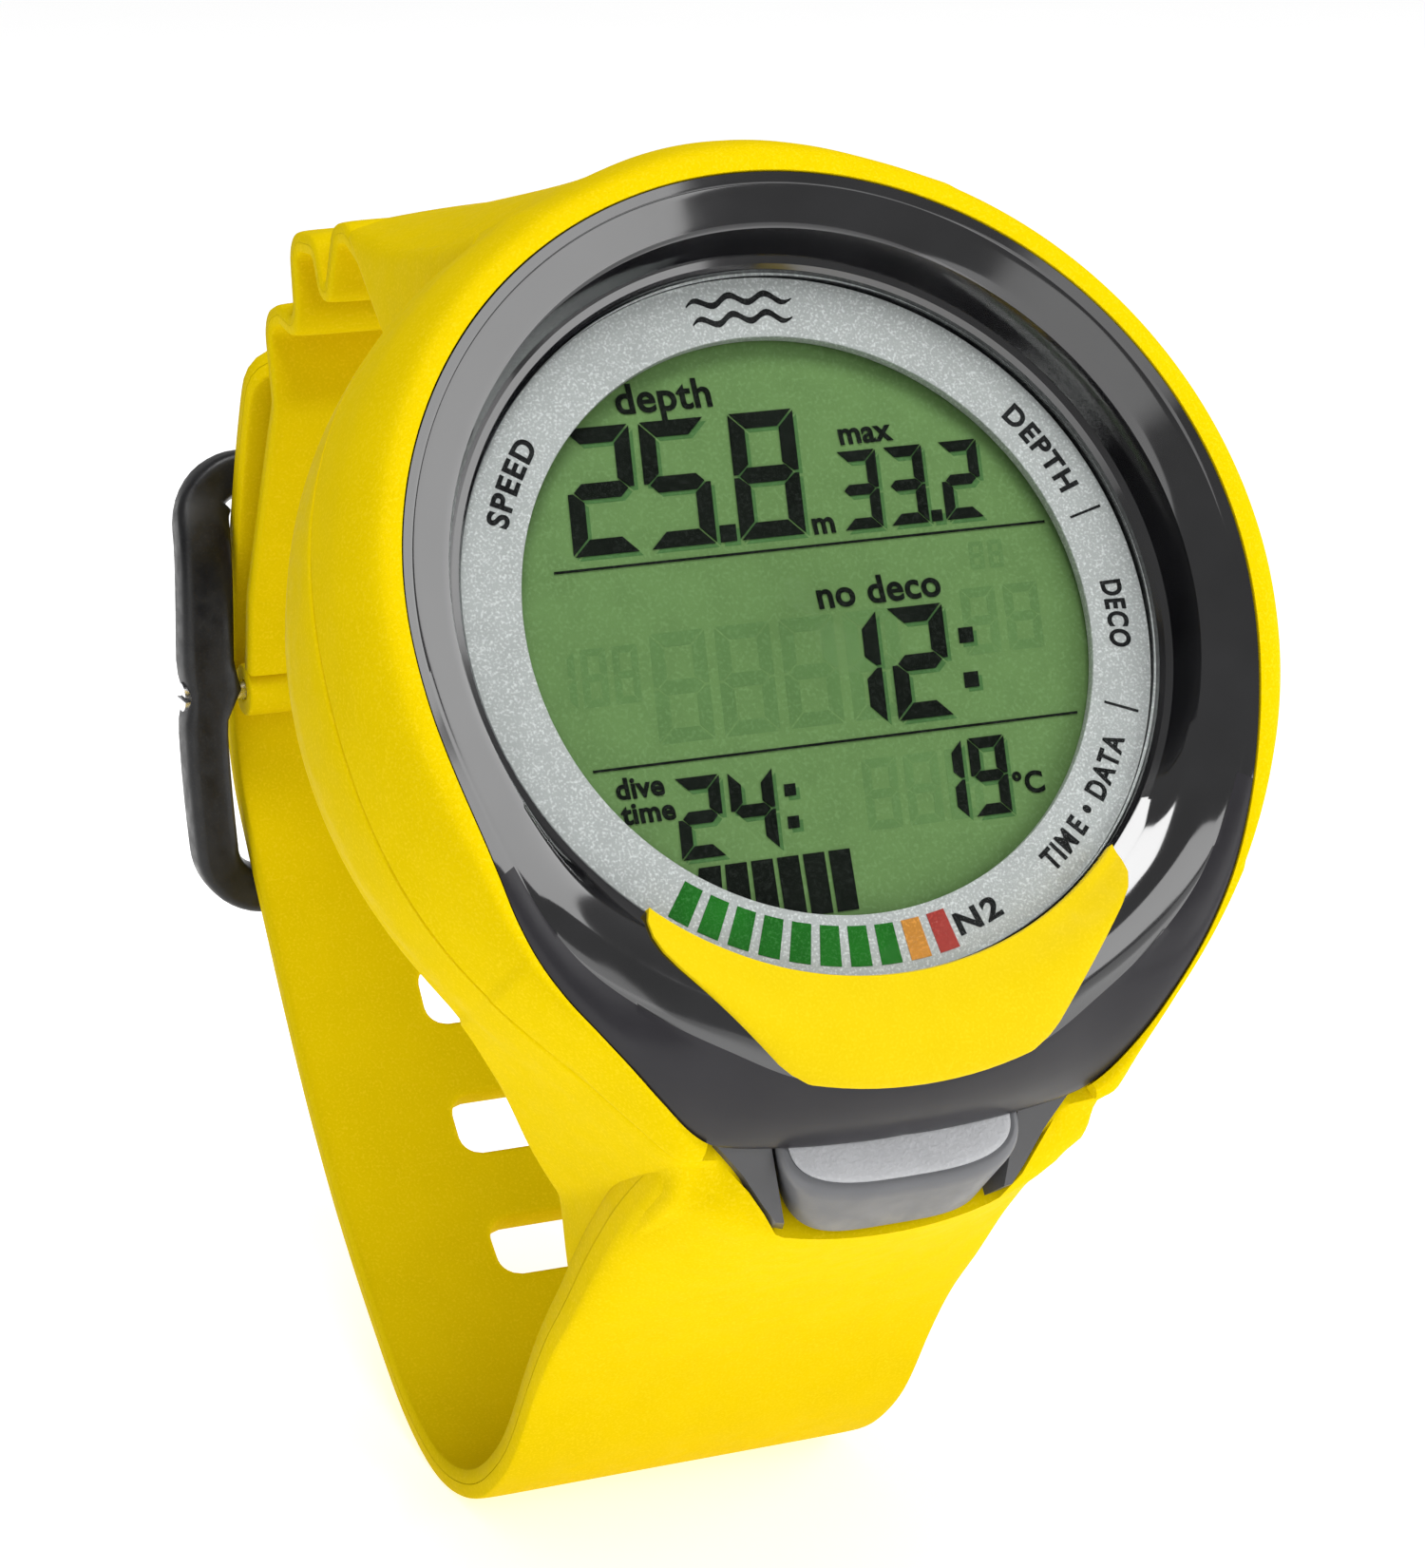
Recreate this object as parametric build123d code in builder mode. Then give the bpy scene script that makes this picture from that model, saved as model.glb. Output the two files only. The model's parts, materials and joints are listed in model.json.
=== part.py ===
"""Wrist dive computer: round case with a one-button chin, yellow bumper and a closed buckled strap.

The whole thing stands on the lowest point of its strap loop, with the dial leaning back.
World frame: X runs along the strap's width towards 3 o'clock, -Y is the side the dial looks
to, and Z is up, with Z = 0 where the strap touches the table.
The dial frame has its origin at the middle of the dial ring's top face: x towards
3 o'clock, v towards 12 o'clock and n out of the dial.
"""
from build123d import *
from math import cos, radians, sin
import os

os.makedirs("parts", exist_ok=True)

# ---- driving dimensions (mm) ----
TILT = 32.7              # the dial leans back by this angle
DIAL_Y = -34.865         # middle of the dial in the world frame
DIAL_Z = 81.25

WINDOW_R = 22.5          # visible part of the display
DIAL_R = 27.3            # outside of the printed dial ring
BEZEL_R = 33.2           # outside of the glossy bezel
RIM_N = 6.2              # height of the bezel's rim above the dial ring
SEAT_N = -1.4            # joint between bezel and housing
CHIN_HALF = 15.0         # half width of the chin at its lip
CHIN_CORNER_V = -36.6    # the lip at its corners
CHIN_V = -38.0           # and at the centre line
LIP_N = -5.4             # underside of the lip

CASE_R = 31.5
CASE_BACK_N = -23.0
CAVITY_R = 26.6
CAVITY_N = -13.0

BUMPER_R = 38.0
BUMPER_FRONT_N = 6.3
BUMPER_REAR_N = -5.2
CUP_REAR_N = -13.0
LOBE_HALF = 17.0         # the ring widens to this half width at both strap roots
LOBE_TOP, LOBE_BOTTOM = 40.6, -39.2
FIT = 0.1                # gap between parts that are pushed together
CLEAR = 0.05             # gap round a pin that turns

LUG_V, LUG_N = 33.2, -17.0      # middle of a strap lug in the (v, n) section
LUG_PIN_V = 34.2
LUG_PIN_R = 0.9
SCREW_CIRCLE_R = 29.0           # the four case screws
BOARD_N = -5.4                  # back face of the circuit board
DOOR_R = 15.0
DOOR_N = -24.2                  # outer face of the battery door
BATTERY_R = 12.25

STRAP_HALF = 17.5
STRAP_T = 2.7
SLOT_PITCH = 12.6
SLOT_SIZE = (10.6, 5.8)

PIN_Y, PIN_Z = 82.9, -24.6      # buckle pin, measured from the dial's middle
PIN_R = 0.8
BUCKLE_HALF = 23.3
RAIL_W = 4.0
BUCKLE_T = 3.6

STEM_N = -8.4            # the button's stem, parallel to the dial
STEM_R = 1.45
STEM_START, STEM_END = -37.0, -24.8
BUTTON_TRAVEL = 1.2
BUTTON_HALF = 9.9        # the cap's half width at its front face, and at its rear face
BUTTON_REAR_HALF = 8.2
BUTTON_FRONT_N, BUTTON_REAR_N = -5.6, -11.0
BUTTON_GAP = 0.25        # between the cap and its pocket
CHIN_REAR_N = -12.0      # rear face of the housing's chin, under the button

# ---- frames ----
C, S = cos(radians(TILT)), sin(radians(TILT))
ORIGIN = (0, DIAL_Y, DIAL_Z)
N_DIR = (0, -C, S)
V_DIR = (0, S, C)
dial = Plane(origin=ORIGIN, x_dir=(1, 0, 0), z_dir=N_DIR)            # local (x, v), normal n
section = Plane(origin=ORIGIN, x_dir=(1, 0, 0), z_dir=(0, -S, -C))   # local (radius, n)
lean = Plane(origin=ORIGIN, x_dir=V_DIR, z_dir=(1, 0, 0))            # local (v, n), normal X
side = Plane(origin=ORIGIN, x_dir=(0, 1, 0), z_dir=(1, 0, 0))        # local (y, z), normal X
dial_axis = Axis(ORIGIN, N_DIR)


def on_dial(x, v, n):
    """World point of a dial-frame point."""
    return (x, DIAL_Y + v * S - n * C, DIAL_Z + v * C + n * S)


def radial(x, v, n):
    """Plane at a dial-frame point whose normal points to 12 o'clock."""
    return Plane(origin=on_dial(x, v, n), x_dir=(1, 0, 0), z_dir=V_DIR)


def across(y, z):
    """Plane at a point of the side view, normal along X."""
    return Plane(origin=(0, DIAL_Y + y, DIAL_Z + z), x_dir=(0, 1, 0), z_dir=(1, 0, 0))


def outward(angle):
    """Plane through the dial's axis: local x in the dial plane at this angle from 3 o'clock, local y = n."""
    along = Vector(cos(radians(angle)), sin(radians(angle)) * S, sin(radians(angle)) * C)
    return Plane(origin=ORIGIN, x_dir=along, z_dir=along.cross(Vector(N_DIR)))


def chin_outline(grow=0.0):
    """Sketch of the bezel seen from the front: a circle that swells into the chin."""
    with BuildSketch() as drawn:
        Circle(BEZEL_R)
        with BuildLine():
            left = ThreePointArc((-30.9, -12.2), (-25.6, -26.7), (-CHIN_HALF, CHIN_CORNER_V))
            right = ThreePointArc((30.9, -12.2), (25.6, -26.7), (CHIN_HALF, CHIN_CORNER_V))
            ThreePointArc(left @ 1, (0, CHIN_V), right @ 1)
            Line(left @ 0, right @ 0)
        make_face()
        if grow:
            offset(amount=grow)
    return drawn.sketch


def cheek_outline(grow=0.0):
    """Sketch of the room below the chin that the button and its two cheeks share."""
    right = [
        (14.4 + grow, -35.0), (14.4 + grow, -36.5 - grow), (12.2 + grow, -38.8 - grow),
        (10.6 + grow, -41.0 - grow), (9.6 + grow, -42.2 - grow), (8.0, -42.4 - grow),
    ]
    with BuildSketch() as drawn:
        Polygon(*right, *[(-x, v) for x, v in reversed(right)], align=None)
    return drawn.sketch


def ring_outline(inset=0.0):
    """Sketch of the yellow ring from the front: a circle that widens into both strap roots."""
    with BuildSketch() as drawn:
        Circle(BUMPER_R - inset)
        with Locations((0, LOBE_TOP - 6 - inset), (0, LOBE_BOTTOM + 6 + inset)):
            RectangleRounded(2 * (LOBE_HALF - inset), 12, 5.5)
        make_hull()
    return drawn.sketch


def finish(builder, name):
    builder.part.label = name
    export_step(builder.part, f"parts/{name}.step")


# ---- housing ----
with BuildPart() as case_housing:
    with BuildSketch(dial.offset(CASE_BACK_N)):
        Circle(CASE_R)
    extrude(amount=SEAT_N - CASE_BACK_N)
    fillet(case_housing.edges().filter_by(GeomType.CIRCLE).sort_by(dial_axis)[0], 3.0)
    with BuildSketch(dial.offset(CHIN_REAR_N)):    # the chin's lower half, with cheeks beside the button
        add(chin_outline(-0.4))
        add(cheek_outline())
    extrude(amount=LIP_N - FIT - CHIN_REAR_N)
    with BuildSketch(lean):                        # the cheeks slope away from the lip
        Polygon((-36.4, -5.0), (-36.4, -5.6), (-42.6, -9.6), (-46, -9.6), (-46, -5.0), align=None)
    extrude(amount=20, both=True, mode=Mode.SUBTRACT)
    with BuildSketch(dial.offset(BUTTON_REAR_N - 1.1)):     # room for the button and its travel
        with Locations((0, -41.7)):
            Rectangle(2 * (BUTTON_REAR_HALF + BUTTON_GAP) - 0.7, 13.0)
    with BuildSketch(dial.offset(BUTTON_FRONT_N + 0.3)):
        with Locations((0, -41.7)):
            Rectangle(2 * (BUTTON_HALF + BUTTON_GAP) + 0.2, 13.0)
    loft(ruled=True, mode=Mode.SUBTRACT)
    with BuildSketch(dial.offset(CAVITY_N)):
        Circle(CAVITY_R)
    extrude(amount=15, mode=Mode.SUBTRACT)
    with BuildSketch(dial.offset(CASE_BACK_N - 1)):     # battery door's bore
        Circle(DOOR_R + FIT)
    extrude(amount=3.5, mode=Mode.SUBTRACT)
    with BuildSketch(dial.offset(CASE_BACK_N)):         # battery bay
        Circle(BATTERY_R + 0.45)
    extrude(amount=8.2, mode=Mode.SUBTRACT)
    with BuildSketch(dial.offset(-15.0)):               # two holes for the battery contacts
        with Locations((0, 0), (10.0, 0)):
            Circle(1.2)
    extrude(amount=4, mode=Mode.SUBTRACT)
    with BuildSketch(radial(0, -36.0, STEM_N)):         # spring bore, then the stem's bore
        Circle(2.6)
    extrude(amount=4.4, mode=Mode.SUBTRACT)
    with BuildSketch(radial(0, -36.0, STEM_N)):
        Circle(1.6)
    extrude(amount=12, mode=Mode.SUBTRACT)
    for sign in (1, -1):                                # strap lugs at 12 and 6 o'clock
        with BuildSketch(lean):
            with Locations((sign * LUG_V, LUG_N)):
                RectangleRounded(6.4, 5.6, 2.0)
        extrude(amount=5.5, both=True)
        with BuildSketch(lean):
            with Locations((sign * LUG_PIN_V, LUG_N)):
                Circle(LUG_PIN_R + CLEAR)
        extrude(amount=8, both=True, mode=Mode.SUBTRACT)
    with BuildSketch(dial.offset(CASE_BACK_N)):         # screw holes from the back
        with PolarLocations(SCREW_CIRCLE_R, 4, start_angle=45):
            Circle(1.1)
    extrude(amount=24, mode=Mode.SUBTRACT)
finish(case_housing, "case_housing")

# ---- bezel with its chin, and the inlay let into it ----
INLAY_TOP = [                # (v, n) of the inlay's face
    (-17.0, 1.2), (-22.0, 2.0), (-27.4, 2.4), (-32.0, 2.1), (-34.4, 1.4), (-36.5, 0.1),
]
INLAY_T = 1.2


def inlay_outline(grow=0.0):
    """Sketch of the crescent below the dial."""
    with BuildSketch() as drawn:
        with BuildLine():
            a = Polyline(
                (-18.4 - grow, -20.4), (-19.0 - grow, -22.4), (-18.5 - grow, -24.0 - grow),
                (-10.4 - grow, -33.5 - grow), (-8.8 - grow, -34.4 - grow),
            )
            b = Polyline(*[(-p.X, p.Y) for p in a.vertices()])
            ThreePointArc(a @ 1, (0, -35.6 - grow), b @ 1)
            ThreePointArc(b @ 0, (0, -DIAL_R - 0.1), a @ 0)
        make_face()
    return drawn.sketch


with BuildPart() as crescent_inlay:
    with BuildSketch(dial.offset(-1)):
        add(inlay_outline())
    extrude(amount=8)
    with BuildSketch(lean):
        with BuildLine():
            top = Polyline(*INLAY_TOP)
            low = Polyline(*[(v, n - INLAY_T) for v, n in INLAY_TOP])
            Line(top @ 0, low @ 0)
            Line(top @ 1, low @ 1)
        make_face()
    extrude(amount=22, both=True, mode=Mode.INTERSECT)
finish(crescent_inlay, "crescent_inlay")

with BuildPart() as pocket:
    with BuildSketch(dial.offset(-1)):
        add(inlay_outline(FIT))
    extrude(amount=10)
    with BuildSketch(lean):
        with BuildLine():
            low = Polyline(*[(v, n - INLAY_T) for v, n in INLAY_TOP])
            Polyline(low @ 1, (-36.5, 9), (-17.0, 9), low @ 0)
        make_face()
    extrude(amount=22, both=True, mode=Mode.INTERSECT)

# above the chin's slopes: the middle one, then those towards both corners of the lip
CHIN_SLOPE = [(-12, 6.35), (-20, 4.2), (-25, 2.7), (-33.8, 1.3), (-35.6, 0.4), (-38.1, LIP_N + 0.5)]
CORNER_SLOPE = [(34.3, 1.7), (37.0, 0.4), (38.6, -1.6), (39.4, LIP_N + 0.5)]
with BuildPart() as above_chin:
    with BuildSketch(lean):
        Polygon(*CHIN_SLOPE, (-44, LIP_N + 0.5), (-44, 9), (-12, 9), align=None)
    extrude(amount=42, both=True)
    for angle in (-61.3, 180 + 61.3):
        with BuildSketch(outward(angle)):
            Polygon(*CORNER_SLOPE, (48, LIP_N + 0.5), (48, 9), (34.3, 9), align=None)
        extrude(amount=30, both=True)

with BuildPart() as bezel:
    with BuildSketch(dial.offset(SEAT_N)):
        add(chin_outline())
    extrude(amount=RIM_N - SEAT_N)
    with BuildSketch(section):                          # dished face
        Polygon((0, 1.8), (DIAL_R + 0.2, 1.8), (32.2, RIM_N), (32.2, 9), (0, 9), align=None)
    revolve(axis=dial_axis, mode=Mode.SUBTRACT)
    with BuildSketch(section):                          # bore round the lens and dial
        Polygon((0, -3), (DIAL_R + 0.2, -3), (DIAL_R + 0.2, 4), (0, 4), align=None)
    revolve(axis=dial_axis, mode=Mode.SUBTRACT)
    with BuildSketch(dial.offset(LIP_N)):               # the chin reaches down in front of the housing
        add(chin_outline())
        Circle(CASE_R + FIT, mode=Mode.SUBTRACT)
        with Locations((0, 20)):
            Rectangle(80, 80, mode=Mode.SUBTRACT)
    extrude(amount=SEAT_N - LIP_N)
    add(above_chin.part, mode=Mode.SUBTRACT)
    add(pocket.part, mode=Mode.SUBTRACT)
finish(bezel, "bezel")

# ---- front stack: lens, dial ring, display ----
with BuildPart() as lens:
    with BuildSketch(dial.offset(0.05)):
        Circle(DIAL_R)
    extrude(amount=1.15)
    chamfer(lens.edges().filter_by(GeomType.CIRCLE).sort_by(dial_axis)[-1], 0.25)
finish(lens, "lens")

with BuildPart() as dial_ring:
    with BuildSketch(dial.offset(-0.9)):
        Circle(DIAL_R)
        Circle(WINDOW_R, mode=Mode.SUBTRACT)
    extrude(amount=0.9)
finish(dial_ring, "dial_ring")

with BuildPart() as lens_gasket:
    with BuildSketch(section):
        with Locations((26.2, -1.65)):
            Ellipse(0.35, 0.7)
    revolve(axis=dial_axis)
finish(lens_gasket, "lens_gasket")

with BuildPart() as lcd_panel:
    with BuildSketch(dial.offset(-2.6)):
        Circle(25.2)
    extrude(amount=1.1)
finish(lcd_panel, "lcd_panel")

with BuildPart() as light_guide:
    with BuildSketch(dial.offset(-3.9)):
        Circle(24.0)
        with Locations((0, 22.0), (0, -22.0)):
            Rectangle(40, 4.0, mode=Mode.SUBTRACT)
    extrude(amount=1.25)
finish(light_guide, "light_guide")

with BuildPart() as zebra_strips:
    with BuildSketch(dial.offset(-3.95)):
        with Locations((0, 21.4), (0, -21.4)):
            Rectangle(24, 1.8)
    extrude(amount=1.3)
finish(zebra_strips, "zebra_strips")

# ---- electronics ----
with BuildPart() as circuit_board:
    with BuildSketch(dial.offset(BOARD_N)):
        Circle(25.6)
        with PolarLocations(24.0, 4, start_angle=45):
            Circle(1.1, mode=Mode.SUBTRACT)
    extrude(amount=1.4)
finish(circuit_board, "circuit_board")

def board_part(name, x, v, width, length, height):
    """Block-shaped component that hangs under the board."""
    with BuildPart() as component:
        with BuildSketch(dial.offset(BOARD_N - CLEAR - height)):
            with Locations((x, v)):
                RectangleRounded(width, length, 0.3)
        extrude(amount=height)
    finish(component, name)


board_part("microcontroller", -9, 8, 10, 10, 1.4)
board_part("memory_chip", 6, 12, 5, 6, 1.2)
board_part("crystal_can", -15, -5, 3.2, 8, 1.6)

with BuildPart() as sounder:
    with BuildSketch(dial.offset(BOARD_N - CLEAR - 3.0)):
        with Locations((16, -6)):
            Circle(6.0)
    extrude(amount=3.0)
finish(sounder, "sounder")

with BuildPart() as pressure_sensor:
    with BuildSketch(dial.offset(BOARD_N - CLEAR - 2.0)):
        with Locations((-4, -10)):
            RectangleRounded(7, 7, 0.6)
    extrude(amount=2.0)
    with BuildSketch(dial.offset(BOARD_N - CLEAR - 5.0)):
        with Locations((-4, -10)):
            Circle(2.6)
    extrude(amount=3.0)
finish(pressure_sensor, "pressure_sensor")

PLUNGER_V = STEM_END + BUTTON_TRAVEL + 0.2     # the pressed stem stops just short of it
with BuildPart() as tact_switch:
    with BuildSketch(radial(0, PLUNGER_V + 0.8, (BOARD_N - CLEAR + STEM_N - 1.5) / 2)):
        Rectangle(6.0, BOARD_N - CLEAR - STEM_N + 1.5)
    extrude(amount=2.4)
    with BuildSketch(radial(0, PLUNGER_V, STEM_N)):
        Circle(1.1)
    extrude(amount=0.8)
finish(tact_switch, "tact_switch")

# ---- battery, its contacts and the coin-slot door ----
with BuildPart() as battery:
    with BuildSketch(dial.offset(-20.2)):
        Circle(BATTERY_R)
    extrude(amount=5.0)
    chamfer(battery.edges().filter_by(GeomType.CIRCLE).group_by(dial_axis)[-1], 0.6)
finish(battery, "battery")

with BuildPart() as battery_contacts:
    with BuildSketch(dial.offset(-15.2)):
        with Locations((0, 0), (10.0, 0)):
            Circle(0.8)
    extrude(amount=9.6)
finish(battery_contacts, "battery_contacts")

with BuildPart() as battery_door:
    with BuildSketch(dial.offset(DOOR_N)):
        Circle(DOOR_R)
    extrude(amount=3.7)
    chamfer(battery_door.edges().filter_by(GeomType.CIRCLE).group_by(dial_axis)[0], 0.5)
    with BuildSketch(dial.offset(DOOR_N)):               # slot for a coin
        SlotOverall(18, 2.2)
    extrude(amount=1.2, mode=Mode.SUBTRACT)
    with BuildSketch(section):                          # groove for its seal
        Polygon((13.9, -21.6), (15.2, -21.6), (15.2, -22.8), (13.9, -22.8), align=None)
    revolve(axis=dial_axis, mode=Mode.SUBTRACT)
finish(battery_door, "battery_door")

with BuildPart() as door_gasket:
    with BuildSketch(section):
        with Locations((14.45, -22.2)):
            Ellipse(0.5, 0.5)
    revolve(axis=dial_axis)
finish(door_gasket, "door_gasket")

with BuildPart() as case_screws:
    for angle in (45, 135, 225, 315):
        x = SCREW_CIRCLE_R * cos(radians(angle))
        v = SCREW_CIRCLE_R * sin(radians(angle))
        with BuildSketch(dial.offset(-19.0)):
            with Locations((x, v)):
                Circle(0.9)
        extrude(amount=15)
        with BuildSketch(dial.offset(-20.6)):
            with Locations((x, v)):
                Circle(1.05)
        extrude(amount=1.6)
finish(case_screws, "case_screws")

# ---- button ----
with BuildPart() as button_cap:
    for n, half, corner_v, nose_v in (
        (BUTTON_REAR_N, BUTTON_REAR_HALF, -42.0, -43.6), (BUTTON_FRONT_N, BUTTON_HALF, -39.6, -42.5),
    ):
        with BuildSketch(dial.offset(n)):
            with BuildLine():
                back = Line((-half, STEM_START), (half, STEM_START))
                right = Line(back @ 1, (half - 0.5, corner_v))
                left = Line(back @ 0, (-half + 0.5, corner_v))
                ThreePointArc(left @ 1, (0, nose_v), right @ 1)
            make_face()
    loft(ruled=True)
finish(button_cap, "button_cap")

with BuildPart() as button_stem:
    with BuildSketch(radial(0, STEM_START, STEM_N)):
        Circle(STEM_R)
    extrude(amount=STEM_END - STEM_START)
    with BuildSketch(section.offset(29.2)):             # seal groove
        with Locations((0, STEM_N)):
            Circle(1.5)
            Circle(1.05, mode=Mode.SUBTRACT)
    extrude(amount=1.0, mode=Mode.SUBTRACT)
finish(button_stem, "button_stem")

with BuildPart() as button_seal:
    with BuildSketch(section.offset(29.3)):
        with Locations((0, STEM_N)):
            Circle(1.58)
            Circle(1.06, mode=Mode.SUBTRACT)
    extrude(amount=0.8)
finish(button_seal, "button_seal")

coil_end = radial(0, -36.7, STEM_N)
coil = coil_end.location * Helix(pitch=1.18, height=4.72, radius=2.05)
with BuildPart() as button_spring:
    with BuildSketch(Plane(origin=coil @ 0, z_dir=coil % 0)):
        Circle(0.25)
    sweep(path=coil, is_frenet=True)
finish(button_spring, "button_spring")

# ---- yellow bumper and the cup that carries the straps ----
with BuildPart() as bumper_ring:
    with BuildSketch(dial.offset(BUMPER_REAR_N)):
        add(ring_outline())
    with BuildSketch(dial.offset(BUMPER_FRONT_N)):
        add(ring_outline(2.6))
    loft(ruled=True)
    with BuildSketch(dial.offset(-11)):
        add(chin_outline(FIT))
    extrude(amount=20, mode=Mode.SUBTRACT)
    with BuildSketch(dial.offset(-11)):                 # open below the chin for the button
        with Locations((0, -44)):
            Rectangle(2 * CHIN_HALF + 1, 15)
    extrude(amount=20, mode=Mode.SUBTRACT)
    add(above_chin.part, mode=Mode.SUBTRACT)
finish(bumper_ring, "bumper_ring")

with BuildPart() as tail_root:                          # root towards the tail, bowed across its width
    with BuildSketch(lean):
        Polygon(
            (-30, -5.3), (-36.4, -5.3), (-39.6, -7.8), (-41.6, -10.5), (-42.2, -14.0), (-42.7, -21.0),
            (-43.2, -29.0), (-36.8, -33.4), (-31.8, -27.0), (-30, -22), align=None,
        )
    extrude(amount=18.0, both=True)
    with BuildSketch(dial.offset(-34)):
        with Locations((0, 0.8)):
            Circle(44.0)
    extrude(amount=30, mode=Mode.INTERSECT)

with BuildPart() as strap_cup:
    with BuildSketch(dial.offset(CUP_REAR_N)):
        add(ring_outline())
    extrude(amount=BUMPER_REAR_N - CUP_REAR_N)
    with BuildSketch(lean):                             # root towards the buckle half
        Polygon(
            (30, -5.2), (40.6, -5.2), (45.0, -23.4), (48.1, -32.2),
            (43.2, -34.2), (36.5, -28.0), (30, -21), align=None,
        )
    extrude(amount=19.0, both=True)
    add(tail_root.part)
    with BuildSketch(dial.offset(CASE_BACK_N - 0.5)):   # the case sits in it
        Circle(CASE_R + FIT)
    extrude(amount=20, mode=Mode.SUBTRACT)
    with BuildSketch(dial.offset(CHIN_REAR_N - FIT)):   # room for the chin and the button
        add(chin_outline(FIT))
        add(cheek_outline(FIT))
        with Locations((0, -44)):
            Rectangle(19.0, 8)
    extrude(amount=8, mode=Mode.SUBTRACT)
    for sign in (1, -1):                                # clear the lugs, then the pin holes
        with BuildSketch(lean):
            with Locations((sign * LUG_V, LUG_N)):
                RectangleRounded(7.0, 6.2, 2.0)
        extrude(amount=5.8, both=True, mode=Mode.SUBTRACT)
        with BuildSketch(lean):
            with Locations((sign * LUG_PIN_V, LUG_N)):
                Circle(LUG_PIN_R + CLEAR)
        extrude(amount=15.2, both=True, mode=Mode.SUBTRACT)
finish(strap_cup, "strap_cup")

with BuildPart() as strap_pins:
    for sign in (1, -1):
        with BuildSketch(lean):
            with Locations((sign * LUG_PIN_V, LUG_N)):
                Circle(LUG_PIN_R)
        extrude(amount=15, both=True)
finish(strap_pins, "strap_pins")

# ---- straps, drawn in the side view (y, z) ----
BELLOWS = [
    (52.8, 21.3), (55.2, 20.9), (58.0, 13.8), (60.6, 19.0), (66.2, 18.6), (65.2, 10.8),
    (70.2, 11.6), (73.4, 10.4), (71.8, 3.4), (75.8, -5.4), (80.4, -15.6), (81.6, -23.4),
]
with BuildPart() as strap_bellows:
    with BuildSketch(side):
        with BuildLine() as fold:
            FilletPolyline(*BELLOWS, radius=1.35)
        trace(fold.line, line_width=2.3)
        with Locations((PIN_Y, PIN_Z)):
            Circle(2.4)
    extrude(amount=STRAP_HALF, both=True)
    with BuildSketch(side):
        with Locations((PIN_Y, PIN_Z)):
            Circle(PIN_R + CLEAR)
    extrude(amount=STRAP_HALF + 1, both=True, mode=Mode.SUBTRACT)
    with BuildSketch(side):                             # gap for the prong
        with Locations((PIN_Y, PIN_Z)):
            Rectangle(7.0, 7.4)
    extrude(amount=3.3, both=True, mode=Mode.SUBTRACT)
finish(strap_bellows, "strap_bellows")

TAIL = [
    (6.1, -50.4), (10.3, -57.5), (14.7, -64.9), (20.4, -72.4), (27.5, -78.0), (35.4, -79.9),
    (43.2, -77.9), (51.8, -72.2), (60.0, -65.5), (66.9, -58.5), (72.9, -51.2), (78.0, -44.4),
    (82.3, -38.6), (85.6, -33.4), (86.9, -28.0), (86.5, -21.0), (85.2, -14.0), (82.8, -5.6),
    (80.4, 1.2), (78.5, 5.0), (75.9, 7.6),
]
FIRST_SLOT, SLOT_COUNT = 65.2, 7       # distance of the first slot along the tail, and how many
with BuildPart() as strap_tail:
    with BuildSketch(side):
        with BuildLine() as path:
            spine = Spline(*TAIL)
        trace(path.line, line_width=STRAP_T)
        Polygon((3.0, -51.35), (8.25, -49.15), (9.6, -54.0), (13.0, -60.3), (8.4, -58.4), align=None)
    extrude(amount=STRAP_HALF, both=True)
    slot_planes = []
    for index in range(SLOT_COUNT):
        at = FIRST_SLOT + index * SLOT_PITCH
        point = spine.position_at(at, position_mode=PositionMode.LENGTH)
        along = spine.tangent_at(at, position_mode=PositionMode.LENGTH)
        slot_planes.append(
            Plane(
                origin=side.from_local_coords(point),
                x_dir=(1, 0, 0),
                z_dir=(0, -along.Y, along.X),
            )
        )
    with BuildSketch(*slot_planes):
        RectangleRounded(*SLOT_SIZE, 1.5)
    extrude(amount=3, both=True, mode=Mode.SUBTRACT)
finish(strap_tail, "strap_tail")

# ---- buckle ----
FRAME_LINE = [
    (87.7, -3.7), (86.9, -7.6), (84.4, -12.0), (83.2, -17.5), (83.0, -24.6), (82.9, -31.0), (83.0, -38.0),
    (83.4, -42.0), (83.5, -45.6),
]
FRAME_Z = -24.6          # middle of the frame's height
with BuildPart() as buckle_frame:
    with BuildSketch(side):
        with BuildLine() as arch:
            Spline(*FRAME_LINE)
        trace(arch.line, line_width=BUCKLE_T)
    extrude(amount=BUCKLE_HALF, both=True)
    outline = Plane(origin=(0, DIAL_Y + 84, DIAL_Z + FRAME_Z), x_dir=(1, 0, 0), z_dir=(0, -1, 0))
    with BuildSketch(outline):
        RectangleRounded(2 * BUCKLE_HALF, 43, 6)
    extrude(amount=12, both=True, mode=Mode.INTERSECT)
    with BuildSketch(outline):
        with Locations((0, 0.4)):
            RectangleRounded(2 * (BUCKLE_HALF - RAIL_W), 36.0, 2.5)
    extrude(amount=12, both=True, mode=Mode.SUBTRACT)
    with BuildSketch(side):
        with Locations((PIN_Y, PIN_Z)):
            Circle(PIN_R + CLEAR)
    extrude(amount=BUCKLE_HALF + 1, both=True, mode=Mode.SUBTRACT)
    for sign in (1, -1):
        with BuildSketch(across(PIN_Y, PIN_Z).offset(sign * BUCKLE_HALF)):
            Circle(1.4)
        extrude(amount=-sign * 1.2, mode=Mode.SUBTRACT)
finish(buckle_frame, "buckle_frame")

with BuildPart() as buckle_pin:
    with BuildSketch(across(PIN_Y, PIN_Z)):
        Circle(PIN_R)
    extrude(amount=BUCKLE_HALF - 1.2, both=True)
finish(buckle_pin, "buckle_pin")

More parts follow.
